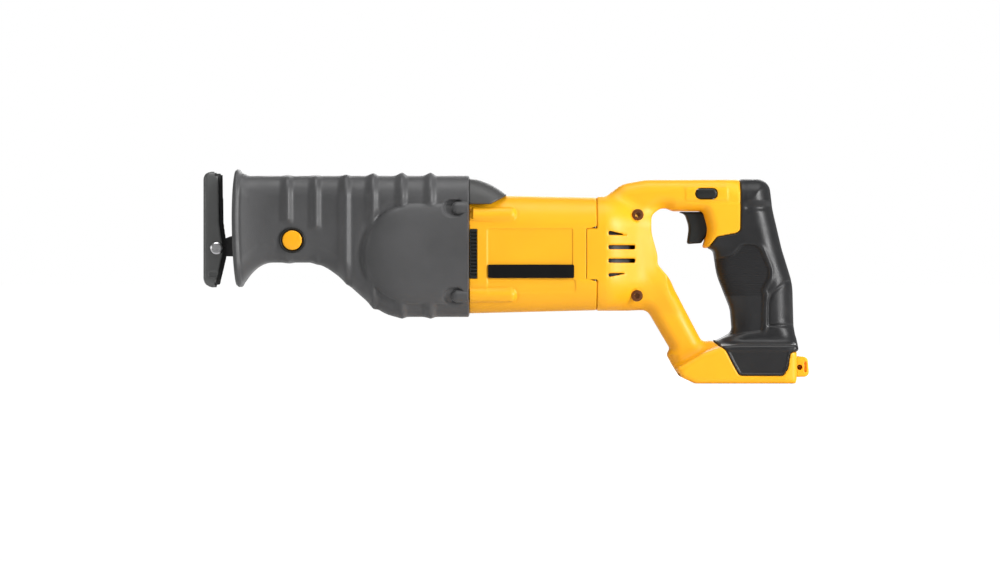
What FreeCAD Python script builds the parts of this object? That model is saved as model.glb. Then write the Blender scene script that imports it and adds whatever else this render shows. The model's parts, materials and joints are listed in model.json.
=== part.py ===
"""Cordless reciprocating saw, bare tool, built as an assembly of separate pieces.

Row frame, millimetres: the origin is the mouth of the blade clamp at mid stroke, -X points along
the stroke towards the blade, +X towards the handle, +Z is up and Y is across the tool.
"""

import FreeCAD, Part
import math
import os
import re
from types import SimpleNamespace

import Sketcher
from FreeCAD import Placement, Rotation, Vector

# ---------------------------------------------------------------- driving dimensions
DIMENSIONS = {
    # stroke and crank
    "stroke": 28.6,
    "crank_x": 95.3,
    "drive_z": -21.5,
    "gear_module": 1.12,
    "gear_teeth": 50,
    "pinion_teeth": 10,
    "face_width": 5.5,
    "gear_back_y": -12.5,
    "gear_cavity_radius": 30.0,
    "cover_bolt_radius": 33.5,
    "crank_pin_radius": 2.5,
    "roller_radius": 4.0,
    "crank_shaft_radius": 4.0,
    "open_pivot_gap": 0.4,
    # plunger, yoke and blade clamp
    "plunger_radius": 6.5,
    "plunger_flat": 3.4,
    "plunger_front_x": 15.0,
    "yoke_half_width": 6.8,
    "yoke_half_thick": 3.4,
    "slot_clear": 0.1,
    "clamp_radius": 8.5,
    "clamp_length": 24.0,
    "collar_radius": 11.5,
    "collar_front_x": 4.0,
    "collar_rear_x": 17.0,
    "lever_tip_radius": 16.5,
    "blade_slot": 1.4,
    "tang_height": 13.5,
    # bushings and bearings
    "bushing_radius": 9.5,
    "front_bushing_x": 40.0,
    "rear_bushing_x": 56.0,
    "bushing_length": 12.0,
    "slide_clear": 0.04,
    "shaft_clear": 0.03,
    "bearing_radius": 11.0,
    "bearing_width": 7.0,
    "pinion_bearing_x": 125.4,
    "rear_bearing_x": 209.5,
    "rear_bearing_radius": 9.5,
    "rear_bearing_width": 6.0,
    # front boot over the gear case
    "boot_front_x": -18.0,
    "boot_rear_x": 129.6,
    "boot_top": 27.8,
    "boot_lip_top": 31.4,
    "boot_lip_bottom": -41.2,
    "nose_bottom": -26.6,
    "boot_bottom": -60.2,
    "nose_half_width": 27.0,
    "boot_half_width": 35.0,
    "boot_wall": 3.0,
    "skin_gap": 0.3,
    "nose_cavity_radius": 18.6,
    "nose_cavity_rear_x": 38.0,
    # motor
    "can_front_x": 146.0,
    "can_rear_x": 198.0,
    "can_radius": 27.0,
    "can_wall": 2.0,
    "armature_radius": 20.3,
    "commutator_radius": 11.0,
    "shaft_radius": 4.0,
    "fan_x": 134.6,
    "fan_radius": 27.5,
    # motor housing and handle
    "housing_front_x": 130.0,
    "housing_rear_x": 208.8,
    "barrel_top": 15.4,
    "barrel_bottom": -57.9,
    "barrel_rear_top": 13.9,
    "barrel_rear_bottom": -56.0,
    "barrel_half_width": 34.0,
    "barrel_rear_half_width": 32.5,
    "barrel_corner": 19.0,
    "shell_wall": 2.8,
    "handle_half_width": 17.0,
    "parting_gap": 0.1,
    "rib_radius": 3.6,
    "rib_y": 30.5,
    "rib_upper_z": 3.4,
    "rib_lower_z": -46.8,
    "lug_radius": 4.2,
    "lug_y": 31.0,
    "lug_upper_z": 6.9,
    "lug_lower_z": -46.9,
    "screw_y": 27.6,
    "screw_upper_z": 5.2,
    "screw_lower_z": -46.8,
    "screw_seat_x": 117.5,
    # foot
    "foot_bottom": -100.8,
    "foot_half_width": 38.0,
    "pocket_half_width": 34.0,
    "pocket_ceiling": -89.0,
    "pocket_rear_x": 327.0,
    "rail_half_width": 29.5,
    "rail_height": 3.4,
    "cover_thick": 2.0,
    "foot_rear_x": 331.6,
    "lug_half_width": 24.0,
    "hook_x": 333.9,
    "hook_z": -91.0,
    "hook_hole_radius": 1.65,
    "hook_hole_length": 8.0,
    # shoe, post and button
    "shoe_face_x": -34.0,
    "shoe_half_width": 17.5,
    "shoe_wall": 2.2,
    "pivot_x": -25.8,
    "pivot_z": -17.6,
    "pivot_radius": 2.5,
    "post_half_width": 8.0,
    "post_bottom": -21.0,
    "post_top": -15.6,
    "post_rear_x": 66.0,
    "button_x": 21.2,
    "button_z": -12.7,
    "button_radius": 6.0,
    # trigger, switch and lock-off button
    "trigger_half_width": 8.5,
    "switch_front_x": 286.0,
    "lock_x": 276.7,
    "lock_z": 16.1,
    "lock_length": 13.4,
    "lock_height": 6.4,
    "lead_radius": 1.1,
}
D = SimpleNamespace(**DIMENSIONS)

doc = FreeCAD.newDocument("reciprocating_saw")
sheet = doc.addObject("Spreadsheet::Sheet", "Dim")
for row, (alias, value) in enumerate(DIMENSIONS.items(), 1):
    sheet.set(f"A{row}", alias)
    sheet.set(f"B{row}", str(value))
    sheet.setAlias(f"B{row}", alias)
doc.recompute()

WORD = re.compile(r"[a-z][a-z_0-9]*")
ALONG = {"x": Rotation(Vector(0, 1, 0), 90), "y": Rotation(Vector(1, 0, 0), -90), "z": Rotation()}
TURNED = {"x": Rotation(), "y": Rotation(Vector(0, 0, 1), 90), "z": Rotation(Vector(0, 1, 0), -90)}
PLANES = {"xy": "XY_Plane", "xz": "XZ_Plane", "yz": "YZ_Plane"}
SUBPARTS = []


# ---------------------------------------------------------------- small helpers
def bind(obj, prop, size):
    """Binds a property to the sheet: size is a sum of aliases and numbers, written as text."""
    text = WORD.sub(lambda m: ("Dim." if m.group() in DIMENSIONS else "") + m.group(), str(size))
    obj.setExpression(prop, text)


def place(obj, at, rotation=Rotation()):
    obj.Placement = Placement(Vector(), rotation)
    for axis, size in zip("xyz", at):
        bind(obj, f"Placement.Base.{axis}", size)
    return obj


def rod(radius, length, at, along="x"):
    """A cylinder whose first end is centred on at."""
    made = doc.addObject("Part::Cylinder", "rod_shape")
    bind(made, "Radius", radius)
    bind(made, "Height", length)
    return place(made, at, ALONG[along])


def block(size, at):
    """A box whose lowest corner is at."""
    made = doc.addObject("Part::Box", "block_shape")
    for prop, value in zip(("Length", "Width", "Height"), size):
        bind(made, prop, value)
    return place(made, at)


def wide(length, half_width, height, at):
    """A box that straddles the mid plane: at is its lowest x and z."""
    return block((length, f"2 * ({half_width})", height), (at[0], f"-({half_width})", at[1]))


def fuse(*shapes):
    made = doc.addObject("Part::MultiFuse", "fuse_shape")
    made.Shapes = list(shapes)
    return made


def cut(base, *tools):
    made = doc.addObject("Part::Cut", "cut_shape")
    made.Base = base
    made.Tool = tools[0] if len(tools) == 1 else fuse(*tools)
    return made


def common(*shapes):
    made = doc.addObject("Part::MultiCommon", "common_shape")
    made.Shapes = list(shapes)
    return made


def copy(shape, at=(0, 0, 0), rotation=Rotation()):
    """The same shape again, moved: a linked copy through a one-member compound."""
    made = doc.addObject("Part::Compound", "copy_shape")
    made.Links = [shape]
    return place(made, at, rotation)


def subpart(name, shape):
    """Names a finished shape as a sub-part of the saw."""
    shape.Label = name
    SUBPARTS.append(shape)
    return shape


def group(name, *shapes):
    """Identical pieces that share one node, as separate solids."""
    made = doc.addObject("Part::Compound", "group_shape")
    made.Links = list(shapes)
    return subpart(name, made)


def rounded(points):
    """Edges of a closed outline whose corners are (u, v, radius), with a tangent arc at each."""
    corners = [Vector(p[0], p[1], 0) for p in points]
    ends, arcs = [], []
    for i, (corner, point) in enumerate(zip(corners, points)):
        radius = point[2] if len(point) > 2 else 0
        before = (corners[i - 1] - corner).normalize()
        after = (corners[(i + 1) % len(corners)] - corner).normalize()
        half = before.getAngle(after) / 2
        if radius == 0:
            ends.append((corner, corner))
            continue
        reach = radius / math.tan(half)
        start, end = corner + before * reach, corner + after * reach
        middle = corner + (before + after).normalize() * (radius / math.sin(half) - radius)
        arcs.append(Part.Arc(start, middle, end))
        ends.append((start, end))
    lines = []
    for i, (_, end) in enumerate(ends):
        start = ends[(i + 1) % len(ends)][0]
        if (start - end).Length > 1e-6:
            lines.append(Part.LineSegment(end, start))
    return lines + arcs


def free_sketch(points, at=(0, 0, 0), rotation=Rotation()):
    made = doc.addObject("Sketcher::SketchObject", "outline_sketch")
    made.addGeometry(rounded(points), False)
    return place(made, at, rotation)


def body_with_sketch(plane, offset):
    """A PartDesign body and a sketch on one of its own planes, shifted along the plane's normal."""
    body = doc.addObject("PartDesign::Body", "solid_body")
    sketch = body.newObject("Sketcher::SketchObject", "profile_sketch")
    face = [f for f in body.Origin.OriginFeatures if f.Role == PLANES[plane]][0]
    sketch.AttachmentSupport = (face, [""])
    sketch.MapMode = "FlatFace"
    bind(sketch, "AttachmentOffset.Base.z", offset)
    return body, sketch


def pad(plane, points, low, high):
    """A PartDesign pad of a rounded outline, between low and high along the plane's axis.

    An XZ sketch faces -Y, so its pad starts at the high end.
    """
    body, sketch = body_with_sketch(plane, f"-({high})" if plane == "xz" else low)
    sketch.addGeometry(rounded(points), False)
    made = body.newObject("PartDesign::Pad", "pad_feature")
    made.Profile = sketch
    bind(made, "Length", f"({high}) - ({low})")
    return body


def driven_polygon(sketch, points):
    """Draws a closed polygon whose every corner is held by expressions in the sheet."""
    count = len(points)
    for i in range(count):
        ends = [Vector(math.cos(a), math.sin(a), 0)
                for a in (2 * math.pi * i / count, 2 * math.pi * (i + 1) / count)]
        sketch.addGeometry(Part.LineSegment(*ends), False)
    for i, point in enumerate(points):
        sketch.addConstraint(Sketcher.Constraint("Coincident", i - 1 if i else count - 1, 2, i, 1))
        for kind, size in zip(("DistanceX", "DistanceY"), point):
            index = sketch.addConstraint(Sketcher.Constraint(kind, -1, 1, i, 1, 1.0))
            bind(sketch, f"Constraints[{index}]", size)


def turned(points, at, along="x"):
    """A PartDesign revolution of (distance along the axis, radius) corners about the given axis."""
    body, sketch = body_with_sketch("xy", 0)
    driven_polygon(sketch, points)
    made = body.newObject("PartDesign::Revolution", "turned_feature")
    made.Profile = sketch
    made.ReferenceAxis = (sketch, ["H_Axis"])
    made.Angle = 360
    return place(body, at, TURNED[along])


def ring(inner, outer, length, at, along="x"):
    return turned([(0, inner), (length, inner), (length, outer), (0, outer)], at, along)


def section(x, top, bottom, half_width, corner):
    """A rounded rectangle across the tool at one x, as a loft section."""
    points = [(y, z, corner) for y, z in
              ((-half_width, bottom), (half_width, bottom), (half_width, top), (-half_width, top))]
    return free_sketch(points, (x, 0, 0), Rotation(Vector(1, 1, 1), 120))


def loft(stations, inset=0.0):
    """A solid through sections (x, top, bottom, half width, corner), all drawn in by inset."""
    made = doc.addObject("Part::Loft", "loft_shape")
    made.Sections = [section(x, top - inset, bottom + inset, half - inset, max(corner - inset, 2.0))
                     for x, top, bottom, half, corner in stations]
    made.Solid = True
    made.Ruled = True
    return made


def smooth(share):
    """Smooth step from 0 to 1."""
    share = min(max(share, 0.0), 1.0)
    return share * share * (3 - 2 * share)


def offset_prism(points, distance, half_width):
    """A prism across the mid plane on an outline grown (or, if negative, drawn in) by distance."""
    grown = doc.addObject("Part::Offset2D", "offset_outline")
    grown.Source = free_sketch(points, rotation=Rotation(Vector(1, 0, 0), 90))
    bind(grown, "Value", distance)
    made = doc.addObject("Part::Extrusion", "prism_shape")
    made.Base = grown
    made.DirMode = "Custom"
    made.Dir = Vector(0, 1, 0)
    made.Solid = True
    bind(made, "LengthFwd", half_width)
    bind(made, "LengthRev", half_width)
    return made


def coil(radius, wire, pitch, length, at, along="x"):
    """A helical compression spring."""
    helix = doc.addObject("Part::Helix", "coil_helix")
    bind(helix, "Radius", radius)
    bind(helix, "Pitch", pitch)
    bind(helix, "Height", length)
    profile = doc.addObject("Sketcher::SketchObject", "wire_section")
    profile.addGeometry(Part.Circle(Vector(radius, 0, 0), Vector(0, 0, 1), wire), False)
    profile.Placement = Placement(Vector(), Rotation(Vector(1, 0, 0), 90))
    sweep = doc.addObject("Part::Sweep", "coil_sweep")
    sweep.Sections = [profile]
    sweep.Spine = (helix, ["Edge1"])
    sweep.Solid = True
    sweep.Frenet = True
    return copy(sweep, at, ALONG[along])


def lead(points, radius):
    """A round wire along straight runs joined by tangent arcs, each as large as its runs allow."""
    corners = [Vector(*p) for p in points]
    edges, start = [], corners[0]
    for before, corner, after in zip(corners, corners[1:], corners[2:]):
        back, onward = before - corner, after - corner
        half = back.getAngle(onward) / 2
        reach = 0.45 * min(back.Length, onward.Length)
        back.normalize()
        onward.normalize()
        bend = reach * math.tan(half)
        middle = corner + (back + onward).normalize() * (bend / math.sin(half) - bend)
        first, last = corner + back * reach, corner + onward * reach
        edges += [Part.LineSegment(start, first).toShape(), Part.Arc(first, middle, last).toShape()]
        start = last
    edges.append(Part.LineSegment(start, corners[-1]).toShape())
    path = Part.Wire(edges)
    circle = Part.Wire(Part.Circle(corners[0], corners[1] - corners[0], radius).toShape())
    made = doc.addObject("Part::Feature", "lead_shape")
    made.Shape = path.makePipeShell([circle], True, True)
    return made


def screw(head_radius, shank_radius, length, at, along="x", head=3.0):
    """A pan-head screw with a six-lobe socket, its head starting at at and its shank going on."""
    body = turned([(0, 0), (0, head_radius * 0.8), (head * 0.35, head_radius), (head, head_radius),
                   (head, shank_radius), (f"{length}", shank_radius), (f"{length}", 0)], at, along)
    socket = rod(head_radius * 0.42, head * 0.6, at, along)
    return cut(body, socket)


# ---------------------------------------------------------------- bevel gears
CONE = SimpleNamespace()
CONE.gear_pitch = D.gear_module * D.gear_teeth / 2
CONE.pinion_pitch = D.gear_module * D.pinion_teeth / 2
CONE.distance = math.hypot(CONE.gear_pitch, CONE.pinion_pitch)
CONE.small_end = (CONE.distance - D.face_width) / CONE.distance
PRESSURE = math.radians(25)
GEAR_ADDENDUM, GEAR_DEDENDUM = 0.75 * D.gear_module, 1.25 * D.gear_module
PINION_ADDENDUM, PINION_DEDENDUM = 1.0 * D.gear_module, 1.0 * D.gear_module
BACKLASH = 0.16


def flank(pitch_radius, addendum, dedendum, root_overlap=0.6, steps=4):
    """One tooth's outline (u across, v out of the pitch cone) on the virtual spur gear.

    Half the tooth's angle at a radius is its half thickness at the pitch line plus the difference
    of the involute function; below the base circle the flank is radial.
    """
    base = pitch_radius * math.cos(PRESSURE)

    def involute(radius):
        angle = math.acos(min(1.0, base / radius))
        return math.tan(angle) - angle

    half_pitch = (math.pi * D.gear_module / 2 - BACKLASH) / 2 / pitch_radius
    side = []
    for i in range(steps + 1):
        radius = pitch_radius - dedendum + (addendum + dedendum) * i / steps
        angle = half_pitch + involute(pitch_radius) - involute(max(radius, base))
        side.append((radius * math.sin(angle), radius * math.cos(angle) - pitch_radius))
    low = (side[0][0], side[0][1] - root_overlap)
    side.insert(0, low)
    return side + [(-u, v) for u, v in reversed(side)]


def tooth(outline, pitch, axial, angle, axis):
    """A straight bevel tooth: the outline at the large end, shrunk towards the apex at the small end.

    pitch and axial are the pitch point's distance from the axis and along it, from the apex.
    """
    along = 1.0 if axial > 0 else -1.0
    cone = math.hypot(pitch, axial)
    normal = Vector(0, -pitch / cone * along, abs(axial) / cone)

    def ring_of(scale):
        points = [Vector(u, axial, pitch) + normal * v for u, v in outline]
        return [Vector(p.x * scale, p.y * scale, p.z * scale) for p in points]

    large, small = ring_of(1.0), ring_of(CONE.small_end)
    faces = [Part.Face(Part.makePolygon(loop + loop[:1])) for loop in (large, small)]
    for i in range(len(large)):
        j = (i + 1) % len(large)
        faces.append(Part.Face(Part.makePolygon([large[i], large[j], small[j], small[i], large[i]])))
    made = Part.makeSolid(Part.makeShell(faces))
    if made.Volume < 0:
        made.reverse()
    made.rotate(Vector(), Vector(0, 1, 0), angle)
    if axis == "x":
        made.rotate(Vector(), Vector(0, 0, 1), -90)
    return made


def bevel(profile, pitch, axial, addendum, dedendum, teeth, first_angle, axis):
    """A turned blank with straight bevel teeth fused on, about the apex at the origin."""
    virtual = pitch * math.hypot(pitch, axial) / abs(axial)
    outline = flank(virtual, addendum, dedendum)
    blank = Part.Face(Part.makePolygon([Vector(0, a, r) for a, r in profile + profile[:1]]))
    blank = blank.revolve(Vector(), Vector(0, 1, 0), 360)
    if axis == "x":
        blank.rotate(Vector(), Vector(0, 0, 1), -90)
    solids = [tooth(outline, pitch, axial, first_angle + 360.0 * i / teeth, axis)
              for i in range(int(teeth))]
    made = blank.fuse(solids).removeSplitter()
    return made.Solids[0] if len(made.Solids) == 1 else made


def make_gears():
    gear_root = (CONE.gear_pitch - GEAR_DEDENDUM * CONE.pinion_pitch / CONE.distance,
                 -CONE.pinion_pitch - GEAR_DEDENDUM * CONE.gear_pitch / CONE.distance)
    web_radius, web_y, hub_radius = 19.5, -8.2, 7.0
    profile = [(D.gear_back_y, D.crank_shaft_radius), (D.gear_back_y, 25.0),
               (D.gear_back_y + 2.5, gear_root[0] + 0.1), (gear_root[1], gear_root[0]),
               (gear_root[1] * CONE.small_end, gear_root[0] * CONE.small_end),
               (web_y, web_radius), (web_y, hub_radius), (web_y + 0.8, hub_radius),
               (web_y + 0.8, D.crank_shaft_radius)]
    half_tooth = 180.0 / D.gear_teeth
    gear = doc.addObject("Part::Feature", "gear_shape")
    gear.Shape = bevel(profile, CONE.gear_pitch, -CONE.pinion_pitch, GEAR_ADDENDUM, GEAR_DEDENDUM,
                       D.gear_teeth, 90 + half_tooth, "y")
    place(gear, ("crank_x", 0, "drive_z"))
    pin_hole = rod("crank_pin_radius", 12, ("crank_x", -16, "drive_z + stroke / 2"), "y")
    lightening = [rod(3.4, 12, (f"crank_x + {14.3 * math.cos(a):.3f}", -16,
                                f"drive_z + {14.3 * math.sin(a):.3f}"), "y")
                  for a in (math.radians(t) for t in (210, 270, 330))]
    subpart("crank_gear", cut(gear, pin_hole, *lightening))

    pinion_root = (CONE.gear_pitch + PINION_DEDENDUM * CONE.pinion_pitch / CONE.distance,
                   CONE.pinion_pitch - PINION_DEDENDUM * CONE.gear_pitch / CONE.distance)
    bore, boss_end = 2.2, CONE.gear_pitch + 1.6
    profile = [(pinion_root[0] * CONE.small_end, bore),
               (pinion_root[0] * CONE.small_end, pinion_root[1] * CONE.small_end),
               pinion_root, (boss_end, pinion_root[1] + 0.3), (boss_end, bore)]
    pinion = doc.addObject("Part::Feature", "pinion_shape")
    pinion.Shape = bevel(profile, CONE.pinion_pitch, CONE.gear_pitch, PINION_ADDENDUM,
                         PINION_DEDENDUM, D.pinion_teeth, 90, "x")
    place(pinion, ("crank_x", 0, "drive_z"))
    subpart("pinion", pinion)


# ---------------------------------------------------------------- crank, yoke and plunger
def make_crank():
    shaft_start, shaft_length = -27.0, 27.0 - 7.6
    subpart("crank_shaft", rod("crank_shaft_radius", shaft_length, ("crank_x", shaft_start, "drive_z"),
                               "y"))
    pin_start = "gear_back_y"
    pin_end = "(0 - yoke_half_thick - open_pivot_gap)"
    subpart("crank_pin", rod("crank_pin_radius", f"{pin_end} - {pin_start}",
                             ("crank_x", pin_start, "drive_z + stroke / 2"), "y"))
    subpart("crank_roller", ring("crank_pin_radius + shaft_clear", "roller_radius",
                                 "2 * yoke_half_thick - 0.4",
                                 ("crank_x", "0.2 - yoke_half_thick", "drive_z + stroke / 2"), "y"))


def flatted(length, x):
    """The plunger's section: a round bar with a flat on each side."""
    return common(rod("plunger_radius", length, (x, 0, 0)),
                  wide(length, "plunger_flat", "3 * plunger_radius", (x, "-1.5 * plunger_radius")))


def make_plunger():
    yoke_front = "crank_x - yoke_half_width"
    tongue_length, tongue_half = 8.0, 2.0
    bar = flatted(f"{yoke_front} - plunger_front_x", "plunger_front_x")
    socket = wide(tongue_length, tongue_half, 8.0, (f"{yoke_front} - {tongue_length}", -4.0))
    oil_flat = rod(1.2, 20, (62, 0, -10), "z")
    subpart("plunger", cut(bar, socket, oil_flat))

    x, top = D.crank_x, D.plunger_radius
    half, slot = D.yoke_half_width, D.roller_radius + D.slot_clear
    reach = D.stroke / 2 + slot
    wall = 3.4
    plate = pad("xz", [(x - half, top, 1.5), (x - half, D.drive_z - reach - wall, 3),
                       (x + half, D.drive_z - reach - wall, 3), (x + half, top, 3)],
                "0 - yoke_half_thick", "yoke_half_thick")
    window = pad("xz", [(x - slot, D.drive_z + reach, slot - 0.01),
                        (x - slot, D.drive_z - reach, slot - 0.01),
                        (x + slot, D.drive_z - reach, slot - 0.01),
                        (x + slot, D.drive_z + reach, slot - 0.01)], -6, 6)
    tongue = wide(tongue_length + 1, tongue_half, 8.0, (f"{yoke_front} - {tongue_length}", -4.0))
    subpart("yoke", cut(fuse(plate, tongue), window))


def make_blade_clamp():
    slot_depth = 13.0
    body = turned([(0, 0), (0, "clamp_radius - 1"), (1, "clamp_radius"),
                   ("clamp_length", "clamp_radius"), ("clamp_length", 0)], (0, 0, 0))
    slot = wide(slot_depth + 1, "blade_slot / 2", "tang_height", (-1, "0 - tang_height / 2"))
    hole = rod(1.85, 20, (9, 0, 0), "y")
    subpart("clamp_body", cut(body, slot, hole, flatted("clamp_length", "plunger_front_x")))
    subpart("blade_pin", rod(1.75, 6.0, (9, 2.4, 0), "y"))

    collar = ring("clamp_radius + 0.15", "collar_radius", "collar_rear_x - collar_front_x",
                  ("collar_front_x", 0, 0))
    lever = pad("yz", [(-3.5, 8.9, 0), (3.5, 8.9, 0), (4.5, D.lever_tip_radius, 1.5),
                       (-4.5, D.lever_tip_radius, 1.5)], "collar_front_x + 1", "collar_rear_x - 1")
    grooves = [ring("collar_radius - 0.5", "collar_radius + 1", 0.8, (7.0 + 2.4 * i, 0, 0))
               for i in range(4)]
    bore = rod("clamp_radius + 0.15", 30, (-2, 0, 0))
    subpart("clamp_collar", cut(fuse(cut(collar, *grooves), lever), bore))
    subpart("clamp_spring", coil(9.6, 0.5, 2.0, 4.4, ("collar_rear_x + 1", 0, 0)))
    subpart("clamp_ring", ring("clamp_radius", "clamp_radius + 1.5", 0.9, (2.6, 0, 0)))


def make_bushings():
    for name, x in (("front_bushing", "front_bushing_x"), ("rear_bushing", "rear_bushing_x")):
        blank = rod("bushing_radius", "bushing_length", (x, 0, 0))
        bore = common(rod("plunger_radius + slide_clear", 20, (f"{x} - 2", 0, 0)),
                      wide(20, "plunger_flat + slide_clear", 20, (f"{x} - 2", -10)))
        subpart(name, cut(blank, bore))
    blank = turned([(0, "plunger_radius - 1"), (0, "bushing_radius - 1.5"),
                    (1.4, "bushing_radius - 1.5"), (1.4, "bushing_radius"), (3.6, "bushing_radius"),
                    (3.6, "plunger_radius - 1")], (52.2, 0, 0))
    lip = common(rod("plunger_radius + 0.15", 8, (50, 0, 0)),
                 wide(8, "plunger_flat + 0.15", 20, (50, -10)))
    solid = rod("plunger_radius", 3.6, (52.2, 0, 0))
    subpart("plunger_seal", cut(fuse(blank, solid), lip))


def ball_bearing(name, bore, outer, width, at, along):
    """Inner ring, outer ring and balls, as separate solids in one node."""
    middle = (bore + outer) / 2
    ball = (outer - bore) * 0.24
    race = (outer - bore) * 0.3
    inner = ring(bore, bore + race, width, at, along)
    outer_ring = ring(outer - race, outer, width, at, along)
    groove = doc.addObject("Part::Torus", "race_groove")
    groove.Radius1, groove.Radius2 = middle, ball + 0.05
    shift = [f"{at[i]} + {width} / 2" if axis == along else at[i] for i, axis in enumerate("xyz")]
    place(groove, shift, ALONG[along])
    balls = []
    for i in range(8):
        angle = 2 * math.pi * i / 8
        sphere = doc.addObject("Part::Sphere", "ball_shape")
        sphere.Radius = ball
        u, v = middle * math.cos(angle), middle * math.sin(angle)
        offsets = {"x": (0, u, v), "y": (u, 0, v)}[along]
        balls.append(place(sphere, [f"{s} + {o:.4f}" for s, o in zip(shift, offsets)]))
    group(name, cut(inner, groove), cut(outer_ring, groove), *balls)


# ---------------------------------------------------------------- gear case and its cover
def boot_stations():
    """Sections of the boot: a flared mouth, a slim nose and a deep rear over the crank gear."""
    flare_start, flare_end, throat_start, throat_end = -11.0, 3.0, 31.0, 87.0
    stations = []
    for x in (D.boot_front_x, flare_start, -8.5, -6, -3, flare_end, throat_start, 40, 47, 54, 61, 68,
              76, throat_end, D.boot_rear_x):
        flare = 1 - smooth((x - flare_start) / (flare_end - flare_start))
        throat = smooth((x - throat_start) / (throat_end - throat_start))
        top = D.boot_top + (D.boot_lip_top - D.boot_top) * flare ** 3
        bottom = D.nose_bottom + (D.boot_bottom - D.nose_bottom) * throat
        bottom += (D.boot_lip_bottom - D.nose_bottom) * flare
        half = D.nose_half_width + (D.boot_half_width - D.nose_half_width) * throat + 2.5 * flare
        stations.append((x, top, bottom, half, 14.0))
    return stations


def around_cover(make):
    """Calls make with the x and z of each cover screw, as sheet expressions."""
    return [make(f"crank_x + cover_bolt_radius * {math.cos(a):.4f}",
                 f"drive_z + cover_bolt_radius * {math.sin(a):.4f}")
            for a in (math.radians(degrees) for degrees in (82, 135, 205, 330))]


def at_housing_screws(make):
    """Calls make with the side (-1 or 1) and the z of each screw between gear case and housing."""
    return [make(side, z) for side in (-1, 1) for z in ("screw_upper_z", "screw_lower_z")]


def make_gearcase():
    case = loft([s for s in boot_stations() if s[0] > -5], D.boot_wall + D.skin_gap)
    rear_flange = rod(29.0, 4.6, (128.4, 0, "drive_z"))
    gear_room = rod("gear_cavity_radius", 40, ("crank_x", -43.6, "drive_z"), "y")
    yoke_room = block((45.8, 8.6, 55.5), (72.6, -3.8, -46.5))
    side_room = block((27.5, 24, 54.5), (82.0, 3.0, -46.0))
    top_room = block((78, 46, 20), (46, -23, 11.5))
    nose_room = rod("nose_cavity_radius", 50, ("nose_cavity_rear_x - 50", 0, 0))
    post_room = wide(90, "post_half_width + 0.3", "post_top - post_bottom + 0.6",
                     (-15, "post_bottom - 0.3"))
    bushing_bore = rod("bushing_radius", 34, (37, 0, 0))
    plunger_room = rod(7.4, 48, (66, 0, 0))
    pinion_room = rod(7.6, 14, (113, 0, "drive_z"))
    bearing_seat = rod("bearing_radius", 12, ("pinion_bearing_x", 0, "drive_z"))
    shoulder = rod(8.6, 8, (119, 0, "drive_z"))
    cover_seat = rod("gear_cavity_radius + 2.2", 30, ("crank_x", -49.4, "drive_z"), "y")
    ears = around_cover(lambda x, z: rod(4.2, 30, (x, -49.4, z), "y"))
    ear_holes = around_cover(lambda x, z: rod(1.5, 16.2, (x, -29.4, z), "y"))
    button_bore = rod("button_radius + 0.25", 20, ("button_x", -39.9, "button_z"), "y")
    stem_bore = rod(3.1, 30, ("button_x", -30, "button_z"), "y")
    screw_holes = at_housing_screws(lambda side, z: rod(1.9, 30, (112, f"{side} * screw_y", z)))
    head_rooms = at_housing_screws(lambda side, z: block(
        (11.5, 12, 8.6), ("screw_seat_x - 11.5", f"{side} * (screw_y + 2) - 6", f"{z} - 4.3")))
    subpart("gearcase", cut(fuse(case, rear_flange), gear_room, yoke_room, side_room, top_room,
                            nose_room, post_room, bushing_bore, plunger_room, pinion_room,
                            bearing_seat, shoulder, cover_seat, *ears, *ear_holes, button_bore,
                            stem_bore, *screw_holes, *head_rooms))


def make_gearcase_cover():
    plug = rod("gear_cavity_radius - 0.15", 4.6, ("crank_x", -19.5, "drive_z"), "y")
    flange = rod("gear_cavity_radius + 2.0", 3.4, ("crank_x", -22.8, "drive_z"), "y")
    boss = rod(14.0, 14.2, ("crank_x", -28.8, "drive_z"), "y")
    ears = around_cover(lambda x, z: rod(4.0, 3.4, (x, -22.8, z), "y"))
    ear_holes = around_cover(lambda x, z: rod(1.9, 12, (x, -26, z), "y"))
    bearing_seat = rod("bearing_radius", "bearing_width + 0.5", ("crank_x", -21.0, "drive_z"), "y")
    bush_seat = rod(6.5, 8, ("crank_x", -27.4, "drive_z"), "y")
    subpart("gearcase_cover", cut(fuse(plug, flange, boss, *ears), bearing_seat, bush_seat,
                                  *ear_holes))
    group("gearcase_screws", *around_cover(lambda x, z: screw(2.8, 1.5, 12.0, (x, -25.2, z), "y", 2.4)))
    ball_bearing("crank_bearing", D.crank_shaft_radius + D.shaft_clear, D.bearing_radius,
                 D.bearing_width, ("crank_x", "-20.9", "drive_z"), "y")
    subpart("crank_bush", ring("crank_shaft_radius + shaft_clear", 6.5, 5.9,
                               ("crank_x", -27.2, "drive_z"), "y"))


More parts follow.
